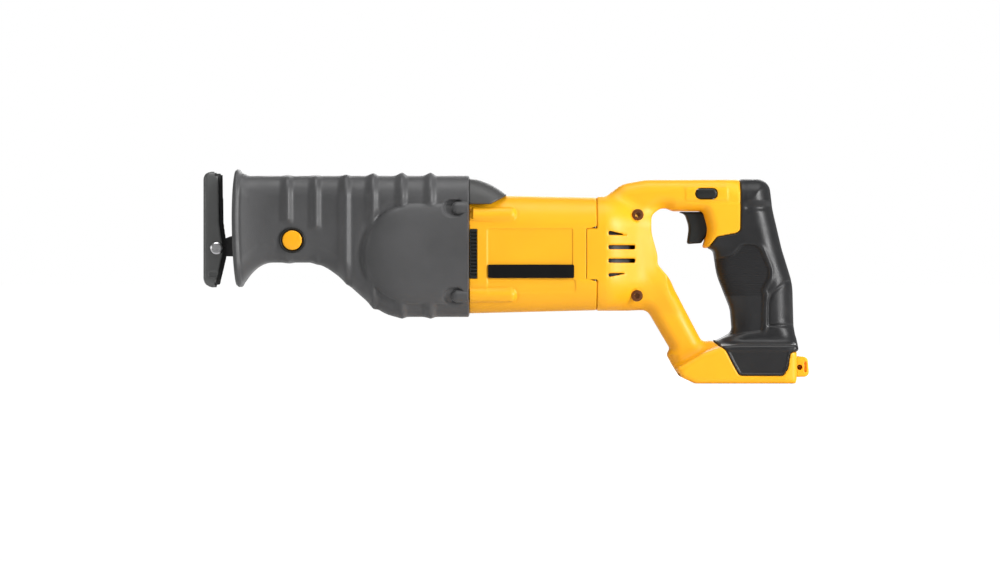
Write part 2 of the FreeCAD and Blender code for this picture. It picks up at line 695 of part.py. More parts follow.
# ---------------------------------------------------------------- boot and fairing
def make_boot():
    outer, inner = loft(boot_stations()), loft(boot_stations(), D.boot_wall)
    mouth_cut = pad("xz", [(-40, 60, 0), (-13.4, 60, 0), (-17.7, -3, 90), (-9.4, -50, 0),
                           (-40, -50, 0)], -50, 50)
    bulge = [(64.2, 9.0, 28), (64.2, -51.2, 28), (D.boot_rear_x, -51.2, 0), (D.boot_rear_x, 9.0, 0)]
    bulges = [pad("xz", bulge, "boot_half_width - 1", "boot_half_width + 1"),
              pad("xz", bulge, "0 - boot_half_width - 1", "1 - boot_half_width")]
    spots = [(side, z) for side in (-1, 1) for z in ("lug_upper_z", "lug_lower_z")]
    lugs = [rod("lug_radius", "boot_rear_x - screw_seat_x", ("screw_seat_x", f"{side} * lug_y", z))
            for side, z in spots]
    pockets = [block((5.5, 8, 8.4), ("screw_seat_x - 5.4", f"{side} * (lug_y + 3) - 4", f"{z} - 4.2"))
               for side, z in spots]
    lug_rooms = at_housing_screws(lambda side, z: rod(4.4, 20, (110, f"{side} * screw_y", z)))
    button_hole = rod("button_radius + 0.3", 20, ("button_x", -40, "button_z"), "y")
    subpart("nose_boot", cut(fuse(outer, *bulges, *lugs), inner, mouth_cut, *pockets, *lug_rooms,
                             button_hole))


FAIRING = [(129.9, 25.4, 0), (143.8, 21.6, 16), (153.4, 15.7, 0.8), (143.3, 9.4, 4), (129.9, 9.4, 0)]


def make_fairing():
    stations = [(D.housing_front_x - 0.1, 25.8, -60, 33.8, 19), (154.0, 15.8, -60, 33.8, 19)]
    wedge = pad("xz", FAIRING, -40, 40)
    hollow = loft([(x - 1 + 2 * i, *rest) for i, (x, *rest) in enumerate(stations)], D.shell_wall)
    subpart("rear_fairing", cut(common(wedge, loft(stations)), hollow))


# ---------------------------------------------------------------- motor
def make_motor():
    z = "drive_z"
    rear = "rear_bearing_x + rear_bearing_width"
    bearing_radius, stub = 3.0, 2.2
    front = "crank_x + 22.8"
    boss_end = f"crank_x + {CONE.gear_pitch + 1.6:.3f}"
    subpart("armature_shaft", turned(
        [(0, 0), (0, stub), (f"{boss_end} - ({front})", stub),
         (f"{boss_end} - ({front})", "shaft_radius"),
         (f"rear_bearing_x - 0.3 - ({front})", "shaft_radius"),
         (f"rear_bearing_x - 0.3 - ({front})", bearing_radius),
         (f"{rear} - ({front})", bearing_radius), (f"{rear} - ({front})", 0)], (front, 0, z)))
    ball_bearing("pinion_bearing", D.shaft_radius + D.shaft_clear, D.bearing_radius, D.bearing_width,
                 ("pinion_bearing_x", "0", z), "x")
    ball_bearing("rear_bearing", bearing_radius + D.shaft_clear, D.rear_bearing_radius,
                 D.rear_bearing_width, ("rear_bearing_x", "0", z), "x")

    # laminated core with slots, and the copper windings' end turns
    core = ring("shaft_radius", "armature_radius", 38, (150, 0, z))
    slots = []
    for i in range(12):
        slot = block((40, 14, 2.6), (149, 7.5, -1.3))
        slots.append(copy(slot, (0, 0, z), Rotation(Vector(1, 0, 0), 30 * i)))
    subpart("armature_core", cut(core, *slots))
    turns = [turned([(0, 4.6), (0, 12), (1.4, 16.5), (4.8, 17.5), (4.8, 4.6)], (145.1, 0, z)),
             turned([(0, 4.6), (0, 17.5), (3.4, 16.5), (5.6, 12), (5.6, 4.6)], (188.1, 0, z))]
    bars = []
    for i in range(12):
        bar = block((38.4, 9.5, 2.2), (149.8, 8.5, -1.1))
        bars.append(copy(bar, (0, 0, z), Rotation(Vector(1, 0, 0), 30 * i)))
    subpart("windings", fuse(*turns, *bars))
    commutator = ring("shaft_radius", "commutator_radius", 9.0, (195.5, 0, z))
    gaps = []
    for i in range(24):
        gap = block((8.2, 3, 0.5), (196.9, 9.2, -0.25))
        gaps.append(copy(gap, (0, 0, z), Rotation(Vector(1, 0, 0), 15 * i)))
    subpart("commutator", cut(commutator, *gaps))

    hub = turned([(0, "shaft_radius"), (0, 9), (5.5, 9), (6.4, "fan_radius"), (7.6, "fan_radius"),
                  (8.2, 9), (8.2, "shaft_radius")], ("fan_x", 0, z))
    blades = []
    for i in range(11):
        blade = block((5.2, 18.4, 1.2), ("fan_x + 1", 8.6, -0.6))
        blades.append(copy(blade, (0, 0, z), Rotation(Vector(1, 0, 0), 360 * i / 11)))
    subpart("fan", common(fuse(hub, *blades), rod("fan_radius", 20, ("fan_x - 5", 0, z))))

    subpart("stator_can", ring("can_radius - can_wall", "can_radius", "can_rear_x - can_front_x",
                               ("can_front_x", 0, z)))
    arc_height = 15.0
    magnet = cut(ring("armature_radius + 0.5", "can_radius - can_wall", 40, (149, 0, z)),
                 block((50, 80, f"2 * {arc_height}"), (145, -40, f"drive_z - {arc_height}")))
    group("magnets", magnet)
    bell = turned([(0, "can_radius - can_wall"), (0, "can_radius"), (9.8, "can_radius"), (9.8, 12.5),
                   (17.8, 12.5), (17.8, "rear_bearing_radius"), (7.3, "rear_bearing_radius"),
                   (7.3, "can_radius - can_wall")], ("can_rear_x + 0.2", 0, z))
    windows = []
    for i in range(4):
        window = rod(4.2, 10, (200, 18.5, 0))
        windows.append(copy(window, (0, 0, z), Rotation(Vector(1, 0, 0), 45 + 90 * i)))
    subpart("end_bell", cut(bell, *windows))
    holders, brushes, springs = [], [], []
    for side in (0, 180):
        turn = Rotation(Vector(1, 0, 0), 90 + side)
        box = cut(block((8, 10, 8), (197.3, 13.5, -4)), block((6.2, 30, 6.2), (198.2, 5, -3.1)))
        holders.append(copy(box, (0, 0, z), turn))
        brush = cut(block((6, 8.2, 6), (198.3, 10.0, -3)), rod("commutator_radius + 0.1", 20, (190, 0, 0)))
        brushes.append(copy(brush, (0, 0, z), turn))
        spring = coil(1.9, 0.35, 1.1, 4.0, (201.3, 18.6, 0), "y")
        springs.append(copy(spring, (0, 0, z), turn))
    group("brush_holders", *holders)
    group("carbon_brushes", *brushes)
    group("brush_springs", *springs)


# ---------------------------------------------------------------- housing, handle and covers
def barrel_stations(start, end):
    return [(start, D.barrel_top, D.barrel_bottom, D.barrel_half_width, D.barrel_corner),
            (end, D.barrel_rear_top, D.barrel_rear_bottom, D.barrel_rear_half_width,
             D.barrel_corner)]


def make_motor_housing():
    stations = barrel_stations(D.housing_front_x, D.housing_rear_x)
    longer = barrel_stations(D.housing_front_x - 1, D.housing_rear_x + 1)
    shell = cut(loft(stations), loft(longer, D.shell_wall))
    ribs = [cut(rod("rib_radius", 28.5, ("housing_front_x", f"{side} * rib_y", z)),
                loft(longer, D.shell_wall - 0.8))
            for side in (-1, 1) for z in ("rib_upper_z", "rib_lower_z")]
    posts = at_housing_screws(lambda side, z: rod(3.8, 20, ("housing_front_x", f"{side} * screw_y", z)))
    holes = at_housing_screws(lambda side, z: rod(1.55, 19, ("housing_front_x - 1",
                                                           f"{side} * screw_y", z)))
    rings = [cut(ring("can_radius + 0.05", 34, 5, (x, 0, "drive_z")),
                 block((7, 90, 44), (x - 1, -45, "drive_z - 22"))) for x in (152, 186)]
    cradles = [common(ring_shape, loft(stations, D.shell_wall - 0.4)) for ring_shape in rings]
    notch = pad("xz", [(120, 40, 0), (160, 40, 0), (153.9, 15.3, 0), (143.4, 9.1, 4), (120, 9.1, 0)],
                -40, 40)
    vents = [block((5.2, 8, 30), ("housing_front_x - 0.1", y, -36)) for y in (28, -36)]
    fan_room = rod("fan_radius + 1", 13, ("fan_x - 2", 0, "drive_z"))
    subpart("motor_housing", cut(fuse(shell, *ribs, *posts, *cradles), *holes, notch, *vents,
                                 fan_room))
    group("housing_screws", *at_housing_screws(lambda side, z: screw(
        3.6, 1.55, 30.0, ("screw_seat_x - 3.2", f"{side} * screw_y", z), "x", 3.2)))
    grilles = []
    for y in (29.9, -33.7):
        frame = block((4.6, 3.8, 29.4), ("housing_front_x + 0.3", y, -35.7))
        slats = [block((2.6, 3.8, 1.8), ("housing_front_x + 1.3", y, -33.9 + 3.4 * i))
                 for i in range(8)]
        grilles.append(cut(frame, *slats))
    group("vent_grilles", *grilles)


HANDLE_OUTLINE = [
    (208.9, 13.9, 0), (214.3, 13.9, 6), (224.5, 22.0, 14), (239.0, 24.7, 30), (315.2, 25.0, 8),
    (317.6, 6.0, 60), (323.2, -18.0, 60), (329.9, -39.6, 40), (330.6, -66.0, 20),
    (331.6, -82.0, 0), (331.6, -98.4, 1), (331.0, -100.8, 0), (269.0, -100.8, 4),
    (261.0, -97.2, 4), (252.2, -83.6, 2), (254.4, -79.6, 1), (240.4, -55.9, 6), (208.9, -55.9, 0)]
HAND_HOLE = [
    (250.0, 8.6, 7), (242.4, 3.0, 6), (242.4, -8.0, 20), (246.2, -22.0, 12), (246.2, -27.6, 5),
    (253.4, -36.0, 20), (273.9, -75.0, 4), (284.4, -75.0, 5), (293.4, -69.4, 5),
    (292.2, -55.0, 20), (284.0, -34.0, 40), (282.0, -17.6, 4), (275.0, -17.2, 1),
    (277.6, -6.0, 9), (274.0, 5.4, 3), (257.0, 5.4, 2)]
FOOT_OUTLINE = [
    (252.2, -83.6, 1), (257.0, -81.2, 3), (330.0, -81.0, 2), (331.6, -84.0, 0), (331.6, -98.4, 0),
    (331.0, -100.8, 0), (269.0, -100.8, 0), (261.0, -97.2, 0)]
GRIP_REGION = [
    (296.7, 40, 0), (297.8, 16, 0), (297.6, -7.4, 3.5), (283.2, -10.2, 1.5), (277.0, -18.4, 0),
    (268.0, -28, 0), (268.0, -62, 0), (282.8, -74.9, 2), (289.3, -84.0, 2), (298.2, -96.4, 4),
    (323.4, -96.4, 3), (327.4, -84.4, 0), (360, -82.0, 0), (360, 40, 0)]
HANDLE_SCREWS = [(234.2, 3.1), (233.7, -46.9)]
HOOK_LUG = [(331.6, -84.4, 0), (338.6, -84.6, 2), (339.9, -96.6, 2), (331.6, -97.0, 0)]
LUG_ROOT = (2.2, 14.0, 7.0)


def barrel_end(start, inset=0.0):
    """The round rear end of the motor barrel, narrowing to the width of the handle."""
    end_top, end_bottom, end_corner = 8.0, -46.0, 12
    return loft([
        (start, D.barrel_rear_top, D.barrel_rear_bottom, D.barrel_rear_half_width, D.barrel_corner),
        (228.0 - 0.7 * inset, D.barrel_rear_top, D.barrel_rear_bottom, 29.0, D.barrel_corner),
        (243.0 - 0.7 * inset, end_top, end_bottom, D.handle_half_width + 0.5, end_corner)], inset)


def handle_volume():
    """The outside of both handle halves together: a D of limbs, the barrel's end and the foot."""
    limbs = cut(pad("xz", HANDLE_OUTLINE, "0 - handle_half_width", "handle_half_width"),
                pad("xz", HAND_HOLE, -60, 60))
    barrel = cut(barrel_end(D.housing_rear_x), pad("xz", HAND_HOLE, -60, 60))
    foot = pad("xz", FOOT_OUTLINE, "0 - foot_half_width", "foot_half_width")
    return fuse(limbs, barrel, foot)


def handle_hollow():
    """The room inside the handle: the limbs drawn in by one wall, and the barrel's end."""
    limbs = cut(offset_prism(HANDLE_OUTLINE, "0 - shell_wall", "handle_half_width - shell_wall"),
                offset_prism(HAND_HOLE, "shell_wall", 60),
                block((120, 120, 30), (240, -60, "pocket_ceiling + shell_wall - 30")))
    barrel = cut(barrel_end(D.housing_rear_x - 1, D.shell_wall),
                 offset_prism(HAND_HOLE, "shell_wall", 60))
    return fuse(limbs, barrel)


def handle_cutouts():
    """What is taken out of both handle halves: battery bay, control openings, vents and holes."""
    bay_x, bay_length = "pocket_rear_x - 90", 90
    bay = wide(bay_length, "pocket_half_width", "pocket_ceiling - foot_bottom - rail_height",
               (bay_x, "foot_bottom + rail_height"))
    bay_mouth = wide(bay_length, "rail_half_width", 20, (bay_x, "foot_bottom - 19 + rail_height"))
    terminal_hole = wide(26.4, 14.2, 14, (295.8, "pocket_ceiling - 1"))
    trigger_slot = wide(31, "trigger_half_width + 0.4", 21.2, (254, -15.2))
    lock_hole = pad("xz", lock_outline(0.25), -40, 40)
    head_holes = [rod(3.7, 20, (x, -38, z), "y") for x, z in HANDLE_SCREWS]
    shank_holes = [rod(1.95, 62, (x, -30, z), "y") for x, z in HANDLE_SCREWS]
    vents = [block((length, 14, 2.6), (216.2, y, z - 1.3))
             for y in (-40, 26)
             for z, length in ((-8.1, 10.5), (-17.0, 16.0), (-25.3, 16.0), (-33.8, 10.0))]
    lug_pocket = wide(LUG_ROOT[0], LUG_ROOT[1], LUG_ROOT[2], ("foot_rear_x - 2.2", "hook_z - 3.5"))
    return [bay, bay_mouth, terminal_hole, trigger_slot, lock_hole, *head_holes, *shank_holes, *vents,
            lug_pocket]


def make_handle():
    outside = handle_volume()
    core = fuse(cut(offset_prism(HANDLE_OUTLINE, "0 - cover_thick", "handle_half_width - cover_thick"),
                    offset_prism(HAND_HOLE, "cover_thick", 60)),
                wide(75, "foot_half_width - cover_thick", 20, (262, -103)))
    covers = cut(common(outside, pad("xz", GRIP_REGION, -60, 60)), core)
    screw_posts = common(fuse(*[rod(5.2, 58, (x, -29, z), "y") for x, z in HANDLE_SCREWS]), outside)
    shell = cut(fuse(cut(outside, handle_hollow()), screw_posts), covers, *handle_cutouts())
    sides = {"left": block((200, 60, 200), (200, "-60 - parting_gap / 2", -120)),
             "right": block((200, 60, 200), (200, "parting_gap / 2", -120))}
    for side, space in sides.items():
        subpart(f"handle_{side}", common(shell, space))
        subpart(f"grip_cover_{side}", common(covers, space))
    group("handle_screws", *[screw(3.4, 1.9, 34.0, (x, -21.0, z), "y", 2.6) for x, z in HANDLE_SCREWS])


def make_hook_lug():
    """The block at the back of the foot that carries a belt hook, keyed into both handle halves."""
    outside = pad("xz", HOOK_LUG, "0 - lug_half_width", "lug_half_width")
    root = wide(LUG_ROOT[0], LUG_ROOT[1], LUG_ROOT[2], ("foot_rear_x - 2.2", "hook_z - 3.5"))
    holes = [rod("hook_hole_radius", "hook_hole_length + 1", ("hook_x", y, "hook_z"), "y")
             for y in ("0 - lug_half_width - 1", "lug_half_width - hook_hole_length")]
    subpart("hook_lug", cut(fuse(outside, root), *holes))


def lock_outline(grow):
    half, radius = D.lock_length / 2 + grow, D.lock_height / 2 + grow
    return [(D.lock_x - half, D.lock_z - radius, radius - 0.01),
            (D.lock_x + half, D.lock_z - radius, radius - 0.01),
            (D.lock_x + half, D.lock_z + radius, radius - 0.01),
            (D.lock_x - half, D.lock_z + radius, radius - 0.01)]


def make_controls():
    """Trigger, its spring, the switch, the lock-off button, the terminal block and the leads."""
    subpart("lock_off_button", pad("xz", lock_outline(0), -18.2, 14.6))
    stem_z = -1.5
    blade = pad("xz", [(257.9, 5.0, 0), (263.8, 3.8, 4), (266.4, -4.5, 14), (265.0, -15.0, 1.2),
                       (273.8, -14.4, 1.5), (277.8, -6.0, 8), (278.4, 5.0, 0)],
                "0 - trigger_half_width", "trigger_half_width")
    stem = rod(2.3, 16, (272, 0, stem_z))
    seat = ring(2.3, 4.4, 12, (274, 0, stem_z))
    subpart("trigger", fuse(cut(blade, seat), stem))
    subpart("trigger_spring", coil(3.4, 0.4, 2.0, 10.6, (274.7, 0, stem_z)))
    case = pad("xz", [(286, -13, 2), (309, -13, 2), (309, 13, 2), (286, 13, 2)], -11, 11)
    lid = wide(18, 11.6, 3, (288.5, 12.4))
    stem_bore = rod(2.6, 12, ("switch_front_x - 1", 0, stem_z))
    subpart("switch", cut(fuse(case, lid), stem_bore))

    contact_rows = (-9, -3, 3, 9)
    slots = [block((15, 1.2, 9), (295, y - 0.6, -96)) for y in contact_rows]
    subpart("terminal_block", cut(wide(26, 14, 13, (296, -97)), *slots))
    group("contact_blades", *[block((11, 0.8, 7.4), (297.5, y - 0.4, -95.2)) for y in contact_rows])
    group("motor_leads", *[lead([(208.05, y, -6.0), (214, y, -6.0), (221, y, 5.0), (229, y, 13.0),
                                 (243, 0.8 * y, 14.4), (257, 0.6 * y, 13.2), (268, 0.6 * y, 10.6),
                                 (286, 0.6 * y, 10.6)], D.lead_radius) for y in (-6, 6)])
    group("battery_leads", *[lead([(297, y, -13.0), (297, y, -24), (304, y, -48), (309, y, -68),
                                   (309, y, -84)], D.lead_radius) for y in (-4, 4)])


def make_badges():
    """Plain strips on the barrel's flat sides."""
    for side, low in (("left", -34.5), ("right", 33.9)):
        strip = pad("xz", [(141.8, -36.0, 1), (194.8, -36.0, 1), (194.8, -27.7, 1),
                           (141.8, -27.7, 1)], low, low + 0.6)
        subpart(f"badge_{side}", strip)


# ---------------------------------------------------------------- shoe, post and its latch
def make_shoe():
    x = D.shoe_face_x
    side_outline = [(x, 30.0, 5), (x, -41.0, 6), (x + 6.0, -42.2, 1.5), (x + 10.3, -41.6, 1.5),
                    (x + 12.8, -31.0, 6), (x + 15.0, -21.5, 5), (x + 14.6, -14.0, 6),
                    (x + 12.9, -2.0, 20), (x + 12.2, 30.0, 1.5)]
    outer = pad("xz", side_outline, "0 - shoe_half_width", "shoe_half_width")
    inner = wide(30, "shoe_half_width - shoe_wall", 90, ("shoe_face_x + shoe_wall", -50))
    window = pad("yz", [(-5.5, -12, 5.4), (5.5, -12, 5.4), (5.5, 22, 5.4), (-5.5, 22, 5.4)], -40, -30)
    lower_slot = pad("yz", [(-9, -36, 1.5), (9, -36, 1.5), (9, -32, 1.5), (-9, -32, 1.5)], -40, -30)
    pin_hole = rod("pivot_radius", 60, ("pivot_x", -30, "pivot_z"), "y")
    subpart("shoe", cut(outer, inner, window, lower_slot, pin_hole))
    head, pin, grip = 3.7, D.pivot_radius, D.shoe_half_width
    subpart("shoe_pivot", turned([(-grip - 1.5, 0), (-grip - 1.5, head - 0.8), (-grip - 0.9, head),
                                  (-grip, head), (-grip, pin), (grip, pin), (grip, head),
                                  (grip + 0.9, head), (grip + 1.5, head - 0.8), (grip + 1.5, 0)],
                                 ("pivot_x", 0, "pivot_z"), "y"))


def make_post():
    bar = wide("post_rear_x + 19.0", "post_half_width", "post_top - post_bottom",
               (-19.0, "post_bottom"))
    cheek = [(-24, -12.6, 1), (-16.5, -9.8, 3), (-9, -11.5, 3), (-6.2, -15.7, 0), (-6.2, -20.9, 0),
             (-16, -22.6, 3), (-24, -22.4, 1)]
    cheeks = [pad("xz", cheek, low, high) for low, high in (
        ("0 - post_half_width", "3 - post_half_width"), ("post_half_width - 3", "post_half_width"))]
    eye = wide(4, "post_half_width", "post_top - post_bottom", (-24, "post_bottom"))
    sleeve = ring("pivot_radius + shaft_clear", 5.2, "2 * (shoe_half_width - shoe_wall - 0.3)",
                  ("pivot_x", "0.3 + shoe_wall - shoe_half_width", "pivot_z"), "y")
    pin_hole = rod("pivot_radius + shaft_clear", 60, ("pivot_x", -30, "pivot_z"), "y")
    notches = [rod(1.9, 20, (f"button_x - 6 + {13 * i}", -7.6, -20), "z") for i in range(3)]
    oil_groove = wide(56, 2.6, 1.9, (4, -17.4))
    subpart("shoe_post", cut(fuse(bar, eye, *cheeks, sleeve), pin_hole, *notches, oil_groove))

    cap = turned([(0, 0), (0, "button_radius - 1.2"), (1.2, "button_radius"), (6.0, "button_radius"),
                  (6.0, 5.0), (1.8, 5.0), (1.8, 0)], ("button_x", -28.6, "button_z"), "y")
    subpart("shoe_button", cap)
    stem = fuse(rod(2.9, 15.4, ("button_x", -26.8, "button_z"), "y"),
                block((4, 6.5, 2.0), ("button_x - 2", -14.6, -15.0)))
    subpart("button_latch", stem)
    subpart("button_spring", coil(4.0, 0.4, 2.2, 6.0, ("button_x", -26.4, "button_z"), "y"))


# ---------------------------------------------------------------- build, check and write
def build():
    for make in (make_gears, make_crank, make_plunger, make_blade_clamp, make_bushings, make_gearcase,
                 make_gearcase_cover, make_boot, make_fairing, make_motor, make_motor_housing,
                 make_handle, make_hook_lug, make_controls, make_badges, make_shoe, make_post):
        make()
    doc.recompute()
    for obj in doc.Objects:
        if "Invalid" in obj.State or "Error" in obj.State:
            raise RuntimeError(f"{obj.Name} ({obj.Label}) failed: {obj.State}")
    names = [obj.Label for obj in SUBPARTS]
    if len(set(names)) != len(names) or len(names) > 60:
        raise RuntimeError(f"sub-part names repeat, or there are too many: {len(names)}")
    for obj in SUBPARTS:
        shape = obj.Shape
        if shape.isNull() or not shape.isValid() or not shape.Solids:
            raise RuntimeError(f"sub-part {obj.Label} has no valid solid")
    os.makedirs("parts", exist_ok=True)
    for obj in SUBPARTS:
        obj.Shape.exportStep(os.path.join("parts", obj.Label + ".step"))
        print(f"{obj.Label}: {len(obj.Shape.Solids)} solid(s), {obj.Shape.Volume / 1000:.2f} cm3")


build()
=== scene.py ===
# %% [markdown]
# # A cordless reciprocating saw, dressed for its portrait
#
# The mechanical model already exists: every casing, shaft, bearing and screw of the saw sits in one
# shared frame, in metres, with the mouth of the blade clamp at the origin, -X towards the blade and +Z
# up. This lesson keeps that frame and gives the saw its looks: moulded shells with soft relief, rubber
# with its grain, blackened steel, and studio light. Inside the lesson sizes are in millimetres, and
# each mesh is turned into metres once, at the moment it is made.

# %% Load the frame
import json
import math
import bmesh
import bpy
import numpy as np
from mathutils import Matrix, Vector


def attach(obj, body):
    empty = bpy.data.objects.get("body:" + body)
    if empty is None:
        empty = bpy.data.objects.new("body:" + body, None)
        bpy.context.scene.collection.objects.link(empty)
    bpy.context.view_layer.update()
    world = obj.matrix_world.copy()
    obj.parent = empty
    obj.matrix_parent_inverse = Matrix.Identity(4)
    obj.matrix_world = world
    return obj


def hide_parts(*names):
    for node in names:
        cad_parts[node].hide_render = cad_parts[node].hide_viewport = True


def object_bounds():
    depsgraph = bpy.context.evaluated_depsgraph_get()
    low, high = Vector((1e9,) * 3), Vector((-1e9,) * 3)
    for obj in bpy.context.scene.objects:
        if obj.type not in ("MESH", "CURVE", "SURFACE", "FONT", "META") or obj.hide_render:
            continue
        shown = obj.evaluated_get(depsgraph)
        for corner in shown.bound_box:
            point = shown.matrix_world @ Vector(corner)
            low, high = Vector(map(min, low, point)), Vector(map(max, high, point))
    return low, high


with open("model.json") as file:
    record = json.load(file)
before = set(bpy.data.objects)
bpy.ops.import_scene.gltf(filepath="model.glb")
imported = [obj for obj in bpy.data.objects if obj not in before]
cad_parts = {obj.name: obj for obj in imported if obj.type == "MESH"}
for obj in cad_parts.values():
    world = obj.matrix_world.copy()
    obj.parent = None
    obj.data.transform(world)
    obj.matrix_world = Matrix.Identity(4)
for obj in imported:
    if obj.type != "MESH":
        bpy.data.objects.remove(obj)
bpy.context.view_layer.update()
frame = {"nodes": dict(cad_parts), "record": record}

import openvdb
from mathutils import Vector

MM = 0.001


# %% [markdown]
# ## From arrays to a mesh
# Everything below ends as an array of points and an array of faces. One small function turns those
# into an object, checks that its volume is positive so that the faces look outwards, and shades it
# smooth except where two faces meet at more than a chosen angle.

# %% Points and faces to an object
def placed(name, mesh, sharp):
    """A mesh as an object in the scene, smooth except at edges sharper than so many degrees."""
    mesh.shade_smooth()
    mesh.set_sharp_from_angle(angle=math.radians(sharp))
    piece = bpy.data.objects.new(name, mesh)
    bpy.context.scene.collection.objects.link(piece)
    return piece


def solid(name, points, faces, sharp=38):
    """points (n, 3) in mm; faces (m, 3 or 4). The volume is the sum of the tetrahedra that each
    triangle makes with the origin, and a negative one means that every face has to be turned."""
    points, faces = np.asarray(points, float), np.asarray(faces)
    a, b, c = (points[faces[:, i]] for i in (0, 1, 2))
    volume = np.einsum("ij,ij->i", a, np.cross(b, c)).sum()
    if faces.shape[1] == 4:
        volume += np.einsum("ij,ij->i", a, np.cross(c, points[faces[:, 3]])).sum()
    if volume < 0:
        faces = faces[:, ::-1]
    mesh = bpy.data.meshes.new(name)
    mesh.from_pydata((points * MM).tolist(), [], faces.tolist())
    mesh.validate()
    piece = placed(name, mesh, sharp)
    print(f"{name}: {len(points)} points, {len(faces)} faces, {abs(volume) / 6000:.1f} cm3")
    return piece


def wear(piece, body, slot, material, *nodes):
    """Puts a finish on a piece, lets it ride on a body and hides the nodes it stands for."""
    piece.data.materials.clear()
    piece.data.materials.append(material)
    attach(piece, body)
    if nodes:
        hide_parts(*nodes)
    return piece


def second_finish(piece, material, chosen):
    """Gives another finish to the faces whose centre (x, z) in mm, seen from the side, is chosen."""
    piece.data.materials.append(material)
    centres = np.zeros(len(piece.data.polygons) * 3)
    piece.data.polygons.foreach_get("center", centres)
    index = chosen(centres[0::3] / MM, centres[2::3] / MM).astype(np.int32)
    piece.data.polygons.foreach_set("material_index", index)


# %% [markdown]
# ## Two ways to make a shell
# A casing that is one tube with soft relief is a **surface of two parameters**: one along the tool and
# one round its section. A handle that branches into a D has no such map, so it is made from a
# **distance field**: a formula says how far every point of a block of space is from the skin, and the
# skin is where that distance is zero. Both are worked out as whole arrays.

# %% A tube with a rounded-rectangle section
def section_columns(side, top, corner):
    """Columns round a rounded rectangle, as how much of its straight half width, its straight half
    height and its corner radius each one uses: (y_straight, z_straight, y_corner, z_corner).
    The last two are also the outward normal."""
    parts = []
    for quarter, (sy, sz) in enumerate(((1, 1), (-1, 1), (-1, -1), (1, -1))):
        angle = (quarter + np.arange(corner) / corner) * math.pi / 2
        parts.append(np.stack([0 * angle + sy, 0 * angle + sz, np.cos(angle), np.sin(angle)], 1))
        count = top if quarter % 2 == 0 else side
        t = np.arange(count) / count
        if quarter % 2 == 0:
            parts.append(np.stack([sy * (1 - 2 * t), 0 * t + sz, 0 * t, 0 * t + sz], 1))
        else:
            parts.append(np.stack([0 * t + sy, sz * (1 - 2 * t), 0 * t + sy, 0 * t], 1))
    return np.concatenate(parts).T


def ramp(x, low, high):
    """Smooth step: 0 below low, 1 above high, and 3t^2 - 2t^3 between."""
    t = np.clip((x - low) / (high - low), 0, 1)
    return t * t * (3 - 2 * t)


def tube(name, x, size, wall, relief, shift, columns, rims, sharp=38):
    """A hollow casing. Going round its wall, the rows run along the outside, turn over the rear rim
    on half an ellipse, come back inside and turn over the front rim.

    x: row places along the tool; size(x): half width, top, bottom and corner radius there;
    relief(x, y, z): how far the outside stands out; shift(u, z): how far a rim is moved along x;
    rims: how far the front and the rear rim stand out along x."""
    ys, zs, yc, zc = columns
    turn = np.linspace(0, math.pi, 9)[1:-1]
    rows_x = np.concatenate([x, x[-1] + rims[1] * np.sin(turn), x[::-6], x[0] - rims[0] * np.sin(turn)])
    inset = np.concatenate([0 * x, wall / 2 * (1 - np.cos(turn)), wall + 0 * x[::-6],
                            wall / 2 * (1 + np.cos(turn))])
    outside = (inset == 0).astype(float)[:, None]
    half, top, bottom, corner = (v[:, None] for v in size(np.clip(rows_x, x[0], x[-1])))
    corner = np.maximum(corner - inset[:, None], 1)
    mid, tall = (top + bottom) / 2, (top - bottom) / 2
    y = ys * (half - inset[:, None] - corner) + yc * corner
    z = mid + zs * (tall - inset[:, None] - corner) + zc * corner
    px = rows_x[:, None] + 0 * y
    rise = relief(px, y, z) * outside
    px = px + shift((px - x[0]) / (x[-1] - x[0]), z)
    points = np.stack([px, y + yc * rise, z + zc * rise], 2)
    rows, cols = y.shape
    i, j = np.meshgrid(np.arange(rows), np.arange(cols), indexing="ij")
    nxt, right = (i + 1) % rows, (j + 1) % cols
    faces = np.stack([i * cols + j, i * cols + right, nxt * cols + right, nxt * cols + j], 2)
    return solid(name, points.reshape(-1, 3), faces.reshape(-1, 4), sharp)


# %% Distance fields and their skin
def rounded(corners, steps=7):
    """A closed outline with a tangent arc at each (u, v, radius) corner, as a dense polygon."""
    corners = np.array(corners, float)
    spots = corners[:, :2]
    before = np.roll(spots, 1, 0) - spots
    after = np.roll(spots, -1, 0) - spots
    before /= np.linalg.norm(before, axis=1)[:, None]
    after /= np.linalg.norm(after, axis=1)[:, None]
    half = np.arccos(np.clip((before * after).sum(1), -1, 1)) / 2
    radius = np.maximum(corners[:, 2], 0.01)
    reach = (radius / np.tan(half))[:, None]
    middle = before + after
    middle /= np.linalg.norm(middle, axis=1)[:, None]
    centre = spots + middle * (radius / np.sin(half))[:, None]
    start, end = spots + before * reach - centre, spots + after * reach - centre
    a0 = np.arctan2(start[:, 1], start[:, 0])
    sweep = (np.arctan2(end[:, 1], end[:, 0]) - a0 + math.pi) % (2 * math.pi) - math.pi
    angle = a0[:, None] + sweep[:, None] * np.linspace(0, 1, steps)
    arc = np.stack([np.cos(angle), np.sin(angle)], 2) * radius[:, None, None]
    return (centre[:, None] + arc).reshape(-1, 2)


